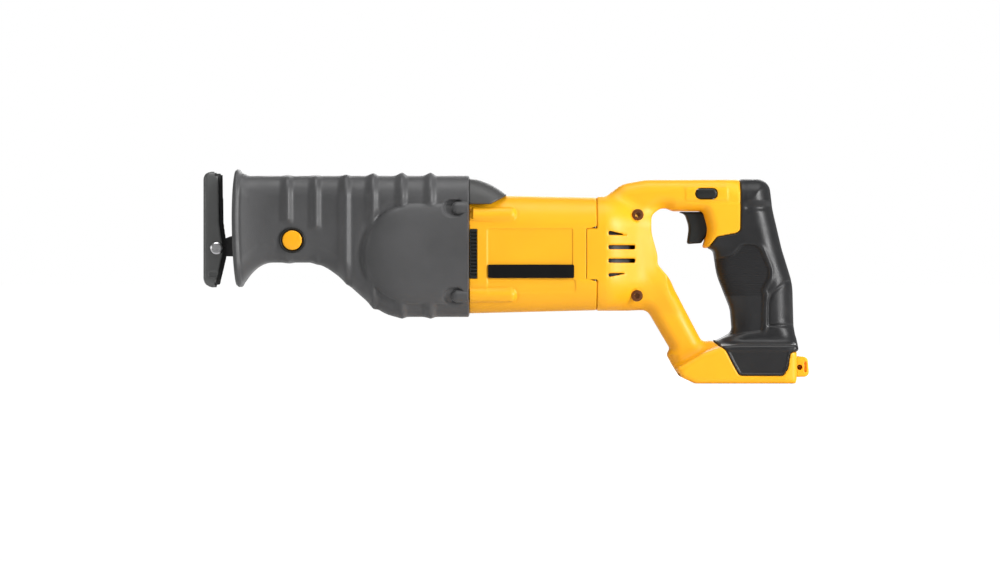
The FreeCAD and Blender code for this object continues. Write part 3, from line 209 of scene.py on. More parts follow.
def outline_distance(outline, u, v):
    """Signed distance to a polygon, negative inside: the nearest edge gives the distance, and the
    number of edges that a ray crosses gives the sign."""
    nearest, inside = np.full(np.broadcast(u, v).shape, 1e9), np.zeros(np.broadcast(u, v).shape, bool)
    for (ax, ay), (bx, by) in zip(outline, np.roll(outline, -1, 0)):
        ex, ey = bx - ax, by - ay
        t = np.clip(((u - ax) * ex + (v - ay) * ey) / (ex * ex + ey * ey + 1e-12), 0, 1)
        nearest = np.minimum(nearest, (u - ax - t * ex) ** 2 + (v - ay - t * ey) ** 2)
        crosses = ((ay > v) != (by > v)) & (u < ex * (v - ay) / (ey if ey else 1e-12) + ax)
        inside ^= crosses
    return np.where(inside, -1, 1) * np.sqrt(nearest)


def both(*fields):
    """Where all the fields are inside."""
    return np.maximum.reduce(np.broadcast_arrays(*fields))


def either(*fields):
    return np.minimum.reduce(np.broadcast_arrays(*fields))


def melt(a, b, size):
    """The union of two fields with a fillet of about that size where they meet."""
    share = np.clip(0.5 + 0.5 * (b - a) / size, 0, 1)
    return b + (a - b) * share - size * share * (1 - share)


def soft_edge(flat, thick, radius):
    """Intersects an outline's distance with a thickness, rounding the edge between them: the length
    of the part of (flat, thick) beyond the inner corner, less the radius."""
    p, q = flat + radius, thick + radius
    return np.minimum(np.maximum(p, q), 0) + np.hypot(np.maximum(p, 0), np.maximum(q, 0)) - radius


def space(low, high, step):
    """Three arrays of x, y and z that broadcast to a block of points."""
    axes = [np.arange(a, b + step, step) for a, b in zip(low, high)]
    return axes[0][:, None, None], axes[1][None, :, None], axes[2][None, None, :]


def skin(name, field, low, step, sharp=38, flip=False):
    """The surface where a field is zero. flip mirrors it to the other side of the tool."""
    grid = openvdb.FloatGrid(step * 3)
    grid.copyFromArray(np.ascontiguousarray(field, np.float32))
    points, _, faces = grid.convertToPolygons(0.0, 0.0)
    points = points * step + np.array(low)
    if flip:
        points[:, 1] *= -1
    return solid(name, points, faces, sharp)


# %% Turned pieces
def turned(name, profile, centre, axis, lobes=None, steps=64, sharp=32):
    """Carries a profile of (distance along the axis, radius) corners round an axis: x, y or z of the
    tool. A radius of 0 at both ends closes it with one point each. lobes(angle, distance, radius)
    may change the radius on the way round."""
    profile = np.array(profile, float)
    angle = np.arange(steps) / steps * 2 * math.pi
    along = profile[1:-1, 0][:, None] + 0 * angle
    radius = profile[1:-1, 1][:, None] + 0 * angle
    if lobes:
        radius = lobes(angle[None, :] + 0 * radius, along, radius)
    first = "xyz".index(axis)
    ring = np.zeros((*along.shape, 3))
    ring[..., first] = along
    ring[..., (first + 1) % 3] = radius * np.cos(angle)
    ring[..., (first + 2) % 3] = radius * np.sin(angle)
    ends = np.zeros((2, 3))
    ends[:, first] = profile[[0, -1], 0]
    points = np.concatenate([ring.reshape(-1, 3), ends]) + np.array(centre)
    rows = len(along)
    i, j = np.meshgrid(np.arange(rows - 1), np.arange(steps), indexing="ij")
    right = (j + 1) % steps
    walls = np.stack([i * steps + j, (i + 1) * steps + j, (i + 1) * steps + right, i * steps + right], 2)
    k = np.arange(steps)
    start, end, last = rows * steps, rows * steps + 1, (rows - 1) * steps
    fans = np.concatenate([
        np.stack([k * 0 + start, k, k, (k + 1) % steps], 1)[:, [0, 2, 3]],
        np.stack([k * 0 + end, last + (k + 1) % steps, last + k], 1)])
    faces = walls.reshape(-1, 4).tolist() + fans.tolist()
    mesh = bpy.data.meshes.new(name)
    mesh.from_pydata((points * MM).tolist(), [], faces)
    return finish_turned(name, mesh, sharp)


def finish_turned(name, mesh, sharp):
    """Turns the faces outwards, by Blender's own rule for a closed mesh, and shades them."""
    work = bmesh.new()
    work.from_mesh(mesh)
    bmesh.ops.recalc_face_normals(work, faces=work.faces)
    work.to_mesh(mesh)
    work.free()
    print(f"{name}: {len(mesh.polygons)} faces")
    return placed(name, mesh, sharp)


# %% [markdown]
# ## Finishes
# A moulded part is never one flat colour: the mould's spark texture breaks up its gloss, and pigment
# and handling vary a little from place to place. Each finish here is the same short recipe. Fine noise
# makes the grain, broad noise varies colour and gloss, and all of it is measured on the object itself,
# in metres, so that it has its true scale and stays put when the saw is turned.

# %% One recipe for moulded and metal finishes
def link(tree, source, target):
    tree.links.new(source, target)


def finish(name, colour, rough, grain=0.0004, depth=0.00002, tint=0.08, gloss_spread=0.08,
           metallic=0.0, coat=0.0, stretch=(1, 1, 1), specular=0.5, sheen=0.0, second_grain=0.0,
           ribs=0.0):
    """colour: linear; grain: size of the grain in metres; depth: its bump height in metres; tint: how
    much the broad noise darkens the colour; stretch: draws the grain out along an axis; ribs: spacing
    in metres of fine level ribs, a wave along z."""
    material = bpy.data.materials.new(name)
    material.use_nodes = True
    tree = material.node_tree
    shader = tree.nodes["Principled BSDF"]
    shader.inputs["Metallic"].default_value = metallic
    shader.inputs["Coat Weight"].default_value = coat
    shader.inputs["Coat Roughness"].default_value = 0.25
    shader.inputs["Specular IOR Level"].default_value = specular
    shader.inputs["Sheen Weight"].default_value = sheen
    place = tree.nodes.new("ShaderNodeTexCoord")
    drawn = tree.nodes.new("ShaderNodeMapping")
    drawn.inputs["Scale"].default_value = stretch
    link(tree, place.outputs["Object"], drawn.inputs["Vector"])

    def noise(size, detail, vector):
        node = tree.nodes.new("ShaderNodeTexNoise")
        node.inputs["Scale"].default_value = 1 / size
        node.inputs["Detail"].default_value = detail
        link(tree, vector, node.inputs["Vector"])
        return node.outputs["Fac"]

    def spread(value, low, high):
        node = tree.nodes.new("ShaderNodeMapRange")
        node.inputs["From Min"].default_value = 0.3
        node.inputs["From Max"].default_value = 0.7
        node.inputs["To Min"].default_value = low
        node.inputs["To Max"].default_value = high
        link(tree, value, node.inputs["Value"])
        return node.outputs["Result"]

    broad = noise(0.03, 4, place.outputs["Object"])
    fine = noise(grain, 2, drawn.outputs["Vector"])
    mix = tree.nodes.new("ShaderNodeMix")
    mix.data_type = "RGBA"
    mix.inputs["A"].default_value = (*colour, 1)
    mix.inputs["B"].default_value = (*[c * (1 - tint) for c in colour], 1)
    link(tree, spread(broad, 0.0, 1.0), mix.inputs["Factor"])
    link(tree, mix.outputs["Result"], shader.inputs["Base Color"])
    link(tree, spread(noise(0.008, 3, drawn.outputs["Vector"]), rough - gloss_spread / 2,
                      rough + gloss_spread / 2), shader.inputs["Roughness"])
    bump = tree.nodes.new("ShaderNodeBump")
    bump.inputs["Strength"].default_value = 1.0
    bump.inputs["Distance"].default_value = depth
    link(tree, fine, bump.inputs["Height"])
    if second_grain:
        coarse = tree.nodes.new("ShaderNodeBump")
        coarse.inputs["Distance"].default_value = second_grain
        link(tree, noise(0.004, 3, place.outputs["Object"]), coarse.inputs["Height"])
        link(tree, bump.outputs["Normal"], coarse.inputs["Normal"])
        bump = coarse
    if ribs:
        wave = tree.nodes.new("ShaderNodeTexWave")
        wave.bands_direction = "Z"
        wave.inputs["Scale"].default_value = 0.314 / ribs
        link(tree, place.outputs["Object"], wave.inputs["Vector"])
        lines = tree.nodes.new("ShaderNodeBump")
        lines.inputs["Distance"].default_value = 0.00012
        link(tree, wave.outputs["Fac"], lines.inputs["Height"])
        link(tree, bump.outputs["Normal"], lines.inputs["Normal"])
        bump = lines
    link(tree, bump.outputs["Normal"], shader.inputs["Normal"])
    return material


YELLOW = finish("yellow_housing", (0.93, 0.43, 0.008), 0.42, 0.0005, 0.000012, tint=0.05, specular=0.36)
BUTTON_YELLOW = finish("yellow_button", (0.93, 0.41, 0.008), 0.34, 0.0005, 0.000006, tint=0.04, specular=0.36)
BOOT_RUBBER = finish("boot_rubber", (0.066, 0.066, 0.068), 0.47, 0.0006, 0.00003, tint=0.22,
                     gloss_spread=0.12, second_grain=0.00006, sheen=0.12)
GRIP_RUBBER = finish("grip_rubber", (0.017, 0.017, 0.018), 0.36, 0.0005, 0.00003, tint=0.2,
                     gloss_spread=0.12, second_grain=0.00004, sheen=0.05, specular=0.32)
RIBBED_RUBBER = finish("ribbed_rubber", (0.016, 0.016, 0.017), 0.44, 0.0005, 0.00002, tint=0.2, ribs=0.0011,
                       specular=0.22)
DARK_PLASTIC = finish("dark_plastic", (0.014, 0.015, 0.014), 0.4, 0.0004, 0.000014, tint=0.12, specular=0.3)
FAIRING_GREY = finish("fairing_plastic", (0.056, 0.056, 0.055), 0.46, 0.0005, 0.00002, tint=0.15)
SHOE_PAINT = finish("shoe_paint", (0.095, 0.097, 0.096), 0.36, 0.0009, 0.00002, tint=0.2, coat=0.25,
                    second_grain=0.00003)
# A matt near-black copy of the shoe paint for the rear edge of the cheeks: painted shade.
SHADED_PAINT = finish("shoe_paint_matt_painted_shade", (0.006, 0.006, 0.006), 0.6, 0.0009, 0.00002, tint=0.2)
SCREW = finish("screw_steel", (0.20, 0.075, 0.03), 0.4, 0.0005, 0.00001, tint=0.3, metallic=0.85)
print("finishes:", [m.name for m in bpy.data.materials])


# %% [markdown]
# ## The nose boot
# The front of a reciprocating saw gets hot, so its gear case wears a thick moulded rubber boot that
# flares at the mouth and swells over the crank gear. It could be modelled by hand with subdivision, but
# its relief follows simple rules: bands that ring the nose, a D-shaped swelling where the gear sits and
# pockets for two screws a side. A two-parameter tube with a relief formula gives those exactly.

# %% Size of the boot along the tool
def boot_size(x):
    """Half width, top, bottom and corner radius: a mouth that flares as the square of the distance
    from where the flare begins, and a belly that drops by a smooth step over 56 mm."""
    belly = ramp(x, 31, 87)
    low = np.clip((8 - x) / 19.5, 0, 1) ** 2
    high = np.clip((-4.5 - x) / 8.6, 0, 1) ** 1.6
    return (27 + 8 * belly + 3.6 * low, 27.2 + 3.6 * high,
            -26.4 - 33.6 * belly - 14.6 * low, 13.5 + 2.5 * belly + 2 * low)


def capsule_distance(x, z, x0, x1, z0):
    """Distance to a level line from x0 to x1 at height z0, seen from the side."""
    return np.hypot(x - np.clip(x, x0, x1), z - z0)


BUTTON = (21.2, -12.7)
BELLY_CENTRE, BELLY_RADIUS = (95.3, -21.2), 30.6
LUG_Z, LUG_X, LUG_RADIUS, LUG_Y = (6.9, -46.9), 119.2, 4.1, 35.4
BANDS = ((19.4, -1.5, -22.5), (36.9, -5.5, -22.5), (55.4, -60.0, -60.0), (72.1, -60.0, -60.0),
         (90.0, -60.0, -60.0), (107.6, -60.0, -60.0))


def rib(away):
    """A soft ridge that climbs over 6 mm and drops over 3."""
    return ramp(away, -6.8, -0.4) * (1 - ramp(away, -1.4, 3.0))


def boot_relief(x, y, z):
    """Sum of the ribs, each faded out on the side between two heights, of the belly's dome (a quarter
    ellipse 13 mm wide that runs round a half-round D), of the roll and groove of the mouth's rim, and
    of the button and screw recesses."""
    rise = 0 * x
    flank = ramp(np.abs(y), 16, 24)
    for place, upper, lower in BANDS:
        on = np.maximum(ramp(z, upper - 2.2, upper + 2.2), ramp(-z, -lower - 1, -lower + 3))
        rise += rib(x - place) * (0.55 * (1 - flank) + 2.6 * flank * on)
    inside = BELLY_RADIUS - np.hypot(np.minimum(x - BELLY_CENTRE[0], 0), z - BELLY_CENTRE[1])
    dome_rise = 4.0 * np.sqrt(1 - (1 - np.clip(inside / 13, 0, 1)) ** 2)
    rise = rise * (1 - flank * ramp(inside, -1.0, 1.5)) + flank * dome_rise
    rise -= flank * 1.2 * np.exp(-((inside + 0.9) / 2.4) ** 2) * ramp(-x, -100, -84)
    near = np.hypot(x - BUTTON[0], z - BUTTON[1])
    dish = rise * ramp(near, 8.5, 11) - 3.0 * (1 - ramp(near, 6.5, 7.6))
    rise = np.where(y < -15, dish, rise)
    for lug_z in LUG_Z:
        rise -= flank * 2.8 * (1 - ramp(capsule_distance(x, z, LUG_X, 122, lug_z), 4.0, 5.6))
    return rise + 0.55 * ramp(-x, 11.6, 12.4) - 0.35 * np.exp(-((x + 10.6) / 0.9) ** 2)


def boot_shift(u, z):
    """The mouth isn't square: seen from the side it is an arc, furthest forward at mid height."""
    bow = 1.2 - 0.0012 * (z - 2) ** 2 * np.where(z > 2, 1.6, 1.05)
    return -bow * (1 - ramp(u, 0, 0.16))


x_rows = np.concatenate([np.linspace(-13.3, -6, 24, endpoint=False), np.linspace(-6, 14, 32, endpoint=False),
                         np.linspace(14, 124, 152, endpoint=False), np.linspace(124, 129.4, 22)])
boot = tube("boot", x_rows, boot_size, 3.0, boot_relief, boot_shift, section_columns(84, 34, 20),
            (1.5, 0.8), 60)
wear(boot, "housing", "dark_rubber", BOOT_RUBBER, "nose_boot")


# %% [markdown]
# ## Screw lugs and the button's well
# The two screws on each side run through round lugs moulded on the boot. Each is a cylinder with a
# round nose, so it is a turned profile. The release button sits in a well whose rubber rim is turned
# as well: a thick ring with a rolled edge hides where the boot dips. The rim is coloured with the
# near-black plastic rather than the boot's rubber, as painted shade of the recess round the button.

# %% Lugs, well rim and button
def dome(radius, start, end, steps=10):
    """Profile of a bar with a round nose at its start: a quarter circle, then straight."""
    angle = np.linspace(0, math.pi / 2, steps)
    nose = np.stack([start + radius * (1 - np.cos(angle)), radius * np.sin(angle)], 1)
    return [*nose.tolist(), (end - 0.6, radius), (end, radius - 0.6), (end, 0)]


for side in (-1, 1):
    for number, lug_z in enumerate(LUG_Z):
        lug = turned(f"boot_lug_{'left' if side < 0 else 'right'}_{number + 1}",
                     dome(LUG_RADIUS, LUG_X, 129.9), (0, side * LUG_Y, lug_z), "x")
        wear(lug, "housing", "dark_rubber", BOOT_RUBBER)

angle = np.linspace(-math.pi / 2, math.pi, 12)
roll = np.stack([-27.6 - 0.75 * np.sin(angle), 7.35 + 0.75 * np.cos(angle)], 1)
rim_profile = [(-24.0, 0), (-24.0, 8.1), *roll.tolist(), (-25.2, 6.6), (-25.2, 0)]
well = turned("button_well", rim_profile, (BUTTON[0], 0, BUTTON[1]), "y")
# The rim takes the near-black plastic finish: painted shade of the recess round the button.
wear(well, "housing", "dark_rubber", DARK_PLASTIC)

angle = np.linspace(0, math.pi / 2, 8)
face = np.stack([-29.0 + 0.8 * (1 - np.cos(angle)), 5.2 + 0.8 * np.sin(angle)], 1)
cap_profile = [(-29.3, 0), (-29.28, 1.5), (-29.2, 3.4), (-29.08, 4.7), *face.tolist(), (-23.0, 6.0),
               (-23.0, 4.8), (-26.5, 4.8), (-26.5, 0)]
button = turned("release_button", cap_profile, (BUTTON[0], 0, BUTTON[1]), "y")
wear(button, "shoe_button", "housing_plastic", BUTTON_YELLOW, "shoe_button")


# %% [markdown]
# ## The motor housing
# Behind the boot comes a yellow barrel with flat flanks. It is the same kind of tube, with long screw
# bosses, a shallow panel where a badge is stuck, and a rear edge that steps forward at mid height to
# take a tongue of the handle shells.

# %% Barrel and its relief
BARREL_X = (130.2, 208.8)
TONGUE_X, TONGUE_Z = 202.4, (-37.0, -5.2)
BOSS_Z, BOSS_END = (3.4, -46.8), 155.4


def barrel_size(x):
    """A slight taper from front to rear."""
    t = (x - BARREL_X[0]) / (BARREL_X[1] - BARREL_X[0])
    return 34 - 1.5 * t, 15.3 - 1.5 * t, -57.8 + 1.9 * t, 19 + 0 * t


def panel(x, z, x0, x1, z0, z1, corner, edge):
    """1 inside a rounded rectangle on the side, 0 outside, with an edge that wide."""
    px = np.abs(x - (x0 + x1) / 2) - (x1 - x0) / 2 + corner
    pz = np.abs(z - (z0 + z1) / 2) - (z1 - z0) / 2 + corner
    away = np.hypot(np.maximum(px, 0), np.maximum(pz, 0)) + np.minimum(np.maximum(px, pz), 0) - corner
    return 1 - ramp(away, -edge, 0)


def barrel_relief(x, y, z):
    """Two half-round bosses, each with a fine groove round it, less the badge's panel, the recess of
    the intake strip and a small notch above it. Only the flanks have them."""
    rise = 0 * x
    for boss_z in BOSS_Z:
        away = capsule_distance(x, z, 100, BOSS_END, boss_z)
        round_top = np.sqrt(np.clip(1 - (away / 3.9) ** 2, 0, 1))
        rise += 2.6 * round_top - 0.35 * np.exp(-((away - 4.6) / 0.7) ** 2)
    rise -= 0.55 * panel(x, z, 141.0, 196.0, -44.8, -5.4, 1.5, 0.7)
    rise -= 2.2 * panel(x, z, 125.0, 135.4, -36.6, -5.6, 0.6, 0.8)
    rise -= 2.4 * panel(x, z, 125.0, 132.6, 0.8, 6.9, 0.5, 0.5)
    return rise * (np.abs(y) > 15)


def barrel_shift(u, z):
    """Moves the rear rim forward between the two heights of the tongue."""
    above_low, above_high = (ramp(z, height - 0.6, height + 0.6) for height in TONGUE_Z)
    inside = above_low * (1 - above_high)
    return (TONGUE_X - BARREL_X[1]) * inside * ramp(u, 0.75, 1.0)


x_rows = np.linspace(BARREL_X[0] + 0.5, BARREL_X[1] - 0.45, 150)
housing = tube("motor_shell", x_rows, barrel_size, 2.8, barrel_relief, barrel_shift,
               section_columns(128, 36, 24), (0.5, 0.4), 50)
wear(housing, "housing", "housing_plastic", YELLOW, "motor_housing")


# %% [markdown]
# ## Intake grille and rear fairing
# Cooling air enters through a black ribbed strip on each flank, just behind the boot. Above it a grey
# wedge leads the boot's shoulder down to the barrel. Both are small branching shapes, so each is a
# distance field: boxes and an outline, cut and rounded.

# %% Grille strips
def box_field(x, y, z, low, high, radius):
    """Distance to a box with rounded edges."""
    deep = [np.abs(v - (a + b) / 2) - (b - a) / 2 + radius for v, a, b in zip((x, y, z), low, high)]
    outside = np.sqrt(sum(np.maximum(d, 0) ** 2 for d in deep))
    return outside + np.minimum(np.maximum.reduce(np.broadcast_arrays(*deep)), 0) - radius


low, step = (129, 29, -38), 0.3
x, y, z = space(low, (136, 35.5, -4), step)
strip = box_field(x, y, z, (130.4, 30, -36.3), (135.0, 34.3, -5.9), 0.5)
slats = np.abs((z + 35.0) % 2.15 - 1.075) - 0.5
slots = both(slats, box_field(x, y, z, (131.0, 32.6, -35.6), (136, 40, -6.6), 0.2))
grille = both(strip, -slots)
for side in (-1, 1):
    strip_piece = skin(f"intake_grille_{'left' if side < 0 else 'right'}", grille, low, step, flip=side < 0)
    wear(strip_piece, "housing", "dark_plastic", DARK_PLASTIC, *(["vent_grilles"] if side < 0 else []))

# %% Fairing
FAIRING = rounded([(130.0, 25.4, 0.4), (136.5, 25.0, 8), (145.0, 21.6, 14), (153.8, 15.0, 0.8),
                   (143.4, 9.5, 4), (130.0, 9.5, 0.4)])
low, step = (129, -37, 8), 0.5
x, y, z = space(low, (155, 37, 27), step)
slope = np.clip((x - 130) / 24, 0, 1)
top = 25.9 - 2.0 * slope - 8.4 * slope ** 1.8
across = np.hypot(np.maximum(np.abs(y) - 35.2 + 17, 0), np.maximum(z - top + 17, 0)) - 17
wedge = soft_edge(outline_distance(FAIRING, x, z), across, 1.0)
fairing = skin("shoulder_fairing", both(wedge, -(across + 2.6)), low, step)
wear(fairing, "housing", "dark_plastic", FAIRING_GREY, "rear_fairing")


# %% [markdown]
# ## The D handle
# Two yellow shells meet on the mid plane and carry everything from the motor's tail to the battery
# foot, with a rubber skin moulded over the rear grip. The D branches, so no grid can wrap it. Its
# distance field is a plain recipe instead: one outline for the D, one for the hand hole, a thickness
# that is rounded off at the edges, a dome for the motor's tail and a broad foot, all melted together.

# %% Outlines of the handle
HANDLE = rounded([
    (200.0, 13.9, 0.5), (214.3, 13.9, 6), (224.5, 22.0, 14), (239.0, 24.7, 30), (315.2, 25.0, 8),
    (317.6, 6.0, 60), (323.2, -18.0, 60), (329.9, -39.6, 40), (330.6, -66.0, 20),
    (332.9, -80.2, 1), (331.6, -83.0, 1), (331.6, -98.0, 1), (331.0, -100.8, 1), (269.0, -100.8, 4),
    (261.0, -97.2, 4), (252.2, -83.6, 3), (254.4, -79.6, 2), (240.4, -55.9, 6), (200.0, -55.9, 0.5)])
HAND_HOLE = rounded([
    (250.0, 8.6, 7), (242.4, 3.0, 6), (242.4, -8.0, 20), (246.2, -22.0, 12), (246.2, -27.6, 5),
    (253.4, -36.0, 20), (273.9, -75.0, 4), (284.4, -75.0, 5), (293.4, -69.4, 5),
    (292.2, -55.0, 20), (284.0, -34.0, 40), (281.6, -17.8, 4), (274.6, -17.2, 1),
    (277.6, -6.0, 14), (274.4, 5.4, 3), (257.0, 5.4, 2)])
FOOT = rounded([
    (257.6, -91.6, 1.5), (264.0, -87.8, 8), (274.0, -82.0, 16), (286.0, -77.8, 10), (297.0, -77.2, 3),
    (332.6, -77.2, 2), (331.6, -83.0, 1), (331.6, -98.0, 1), (331.0, -100.8, 1), (269.0, -100.8, 3),
    (261.0, -97.2, 3)])
GRIP = rounded([
    (296.7, 45, 0), (297.8, 16, 3), (297.6, -7.6, 3.5), (283.2, -10.4, 1.5), (277.0, -18.4, 2),
    (267.0, -34.0, 10), (271.0, -60, 10), (281.6, -75.8, 2), (288.0, -80.6, 3), (292.0, -88.6, 3),
    (296.2, -96.0, 3), (323.0, -96.2, 3), (326.2, -91.6, 3), (327.6, -81.6, 2),
    (360, -80.6, 0), (360, 45, 0)])
RIBBED = rounded([
    (276, -24, 2), (292.5, -22.0, 6), (298.5, -14.6, 6), (309.5, -15.4, 8), (317.0, -33.2, 10),
    (311.2, -43.4, 3), (312.3, -46.2, 2), (311.7, -69.0, 3), (280, -74, 2), (276, -50, 5)])
HEEL = rounded([(325.6, -38.6, 6), (340.0, -36.0, 5), (340.0, -65.6, 2), (314.9, -65.4, 2),
                (314.9, -51.7, 6), (317.0, -45.2, 5)])
SCREWS = ((234.2, 3.1), (233.7, -46.9))
LOCK = (276.7, 16.1)
INSIDE, FOOT_HALF, BAY_HALF = 2.8, 38.0, 34.0


# %% The handle's field
def limb_thickness(x, z, ribbed, heel, grip_flat):
    """Half thickness of the limbs: slim in the front strut, full in the grip, with the sunk panel of
    the rubber, the line round the heel pad, the step under the rear cap and the panels round the
    lock-off button."""
    strut = ramp(-z, 46, 60) * ramp(-x, -292, -272)
    half = 16.8 - 3.4 * strut
    half = half - 1.3 * (1 - ramp(ribbed, -1.3, 0.1)) * (grip_flat < 0) * ramp(x, 280, 286)
    half = half + 0.5 * np.exp(-((ribbed - 1.4) / 1.1) ** 2) * ramp(x, 288, 306) * ramp(-z, 12, 20)
    half = half - 0.8 * np.exp(-(heel / 0.8) ** 2) - 0.25 * (1 - ramp(heel, -1, 0))
    cap = ramp(x, 299, 303)
    half = half + cap * (0.9 * ramp(z, 9.0, 12.5) - 1.0 * np.exp(-((z - 7.6) / 1.8) ** 2))
    half = half + 0.5 * panel(x, z, 240.0, 299.0, -30, 10.8, 1.0, 0.9) * ramp(x, 262, 268) * (grip_flat > 0)
    return half + 0.45 * panel(x, z, 263.3, 290.4, 11.6, 21.2, 1.2, 0.8)


def tail_field(x, y, z):
    """The motor's tail: a rounded rectangle across the tool that narrows by smooth steps in x."""
    narrow = ramp(x, 213, 247)
    half, tall, corner = 32.5 - 15.2 * narrow, 34.9 - 7.5 * narrow, 19 - 7 * narrow
    p, q = np.abs(y) - half + corner, np.abs(z + 21.05) - tall + corner
    return np.hypot(np.maximum(p, 0), np.maximum(q, 0)) + np.minimum(np.maximum(p, q), 0) - corner


def handle_field(x, y, z):
    """The outside of the handle without its tab, and the side distance to the rubber's outline."""
    flat = x[:, 0, :], z[:, 0, :]
    outer, hole, foot_flat, grip_flat, ribbed, heel = (
        outline_distance(outline, *flat)[:, None, :]
        for outline in (HANDLE, HAND_HOLE, FOOT, GRIP, RIBBED, HEEL))
    limb_flat = np.maximum(outer, -hole)
    edge = 8.0 + 5.0 * ramp(x, 288, 300) * ramp(z, -78, -60)
    limbs = soft_edge(limb_flat, y - limb_thickness(x, z, ribbed, heel, grip_flat), edge)
    tail = both(tail_field(x, y, z), limb_flat, x - 252)
    plan = FOOT_HALF - 2.0 * (1 - np.clip((x - 253) / 12, 0, 1)) ** 2 - 1.2 * ramp(x, 324, 333)
    plan = plan - 0.9 * ramp(-grip_flat, 0.9, 1.9) * ramp(-z, 80.6, 81.4)
    foot = soft_edge(foot_flat, y - plan, 2.6)
    total = melt(melt(limbs, tail, 6.0), foot, 7.0)
    return both(total, limb_flat - 0.3), grip_flat


def handle_cuts(x, y, z):
    """Battery bay, terminal hole, trigger slot and lock-off hole."""
    bay = either(both(np.abs(z + 93.2) - 4.2, y - BAY_HALF, x - 327, 264 - x),
                 both(y - 29.5, z + 95.0, x - 327))
    terminal = both(np.abs(x - 309) - 13.2, y - 14.2, np.abs(z + 88) - 6)
    trigger_slot = both(np.abs(x - 269.5) - 15.5, y - 8.9, np.abs(z + 4.6) - 10.6)
    lock = both(np.hypot(np.maximum(np.abs(x - LOCK[0]) - 3.5, 0), z - LOCK[1]) - 3.45, 9 - y)
    return either(bay, terminal, trigger_slot, lock)


def tail_vents(x, y, z):
    """Two full slots between a pair that run out to a point."""
    start = 215.9 - x
    slots = either(both(start, x - 232.4, np.abs(z + 17.0) - 1.25),
                   both(start, x - 232.6, np.abs(z + 25.3) - 1.25),
                   both(start, -9.5 - z, z + 6.6 + (x - 216) * 0.255),
                   both(start, z + 33.0, -35.4 + (x - 216) * 0.21 - z))
    return both(slots, 19 - y)


STEP = 0.7
HANDLE_LOW = (200.5, -0.6 * STEP, -102.6)
x, y, z = space(HANDLE_LOW, (342.0, 40.6, 27.0), STEP)
total, grip_flat = handle_field(x, y, z)
front = np.minimum(209.0 - x, np.maximum(202.6 - x, np.abs(z + 21.1) - 15.7))
cuts = either(handle_cuts(x, y, z), tail_vents(x, y, z))
shell = both(total, -(total + INSIDE), -cuts, front, 0.05 - y, -both(-(total + 1.8), grip_flat - 0.1))
rod_distance = [np.hypot(x - sx, z - sz) for sx, sz in SCREWS]
posts = either(*[both(r - 5.6, 2.1 - r) for r in rod_distance])
well = either(*[both(r - 4.3, 20.9 - y) for r in rod_distance])
posts = both(posts, total, 0.05 - y)
left_shell = both(either(shell, both(posts, y - 21)), -well)
for side, field in (("left", left_shell), ("right", either(shell, posts))):
    half = skin(f"handle_shell_{side}", field, HANDLE_LOW, STEP, 42, flip=side == "left")
    wear(half, "housing", "housing_plastic", YELLOW, f"handle_{side}")

# %% Rubber skin of the grip, on a finer grid
RUBBER_STEP = 0.5
low = (266.0, -0.5, -98.0)
x, y, z = space(low, (335.0, 40.0, 27.5), RUBBER_STEP)
total, grip_flat = handle_field(x, y, z)
proud = 0.4 - 1.0 * (1 - ramp(-grip_flat, 0.1, 1.0))
rubber = both(total - proud, grip_flat + 0.05, 0.05 - y, -(total + 1.9), -handle_cuts(x, y, z))
for side in ("left", "right"):
    cover = skin(f"grip_rubber_{side}", rubber, low, RUBBER_STEP, 42, flip=side == "left")
    wear(cover, "housing", "dark_rubber", GRIP_RUBBER, f"grip_cover_{side}")
    second_finish(cover, RIBBED_RUBBER,
                  lambda u, w: (outline_distance(RIBBED, u, w) < -1.2) & (w > -47) & (u > 282))


# %% [markdown]
# ## The belt-hook lug
# A block behind the foot takes the screw of a belt hook from either side. It is a field again: an
# outline with a thickness, rounded where the two meet, with a hole and a slot beside it.

# %% Lug
LUG = rounded([(331.6, -84.4, 0.3), (338.8, -84.4, 3), (339.9, -96.8, 3), (331.6, -97.0, 0.3)])
low, step = (331.0, -25.0, -98.0), 0.3
x, y, z = space(low, (341.0, 25.0, -83.4), step)
block = soft_edge(outline_distance(LUG, x, z), np.abs(y) - 24.0, 1.0)
hole = both(np.hypot(x - 333.9, z + 91.0) - 1.65, 16 - np.abs(y))
notch = soft_edge(np.abs(x - 337.4) - 0.8, np.abs(z + 90.7) - 3.2, 0.6)
notch = both(notch, 22.4 - np.abs(y))
lug = skin("hook_lug", both(block, -hole, -notch), low, step)
wear(lug, "housing", "housing_plastic", YELLOW, "hook_lug")


# %% [markdown]
# ## Trigger and lock-off button
# Both are dark moulded plastic. The trigger is a thick rounded blade on an outline; the lock-off button
# is an oval bar pushed through the handle from side to side.

# %% Trigger
TRIGGER = rounded([(257.9, 5.0, 0.3), (263.8, 3.8, 4), (266.4, -4.5, 14), (265.0, -15.0, 1.2),
                   (273.8, -14.4, 1.5), (279.6, -6.0, 12), (279.0, 5.0, 0.3)])
low, step = (256.5, -9.6, -16.4), 0.35
x, y, z = space(low, (280, 9.6, 6.4), step)
blade = soft_edge(outline_distance(TRIGGER, x, z), np.abs(y) - 8.5 + 0.35 * ramp(x, 268, 276), 1.6)
trigger = skin("trigger_blade", blade, low, step)
wear(trigger, "trigger", "dark_plastic", DARK_PLASTIC, "trigger")

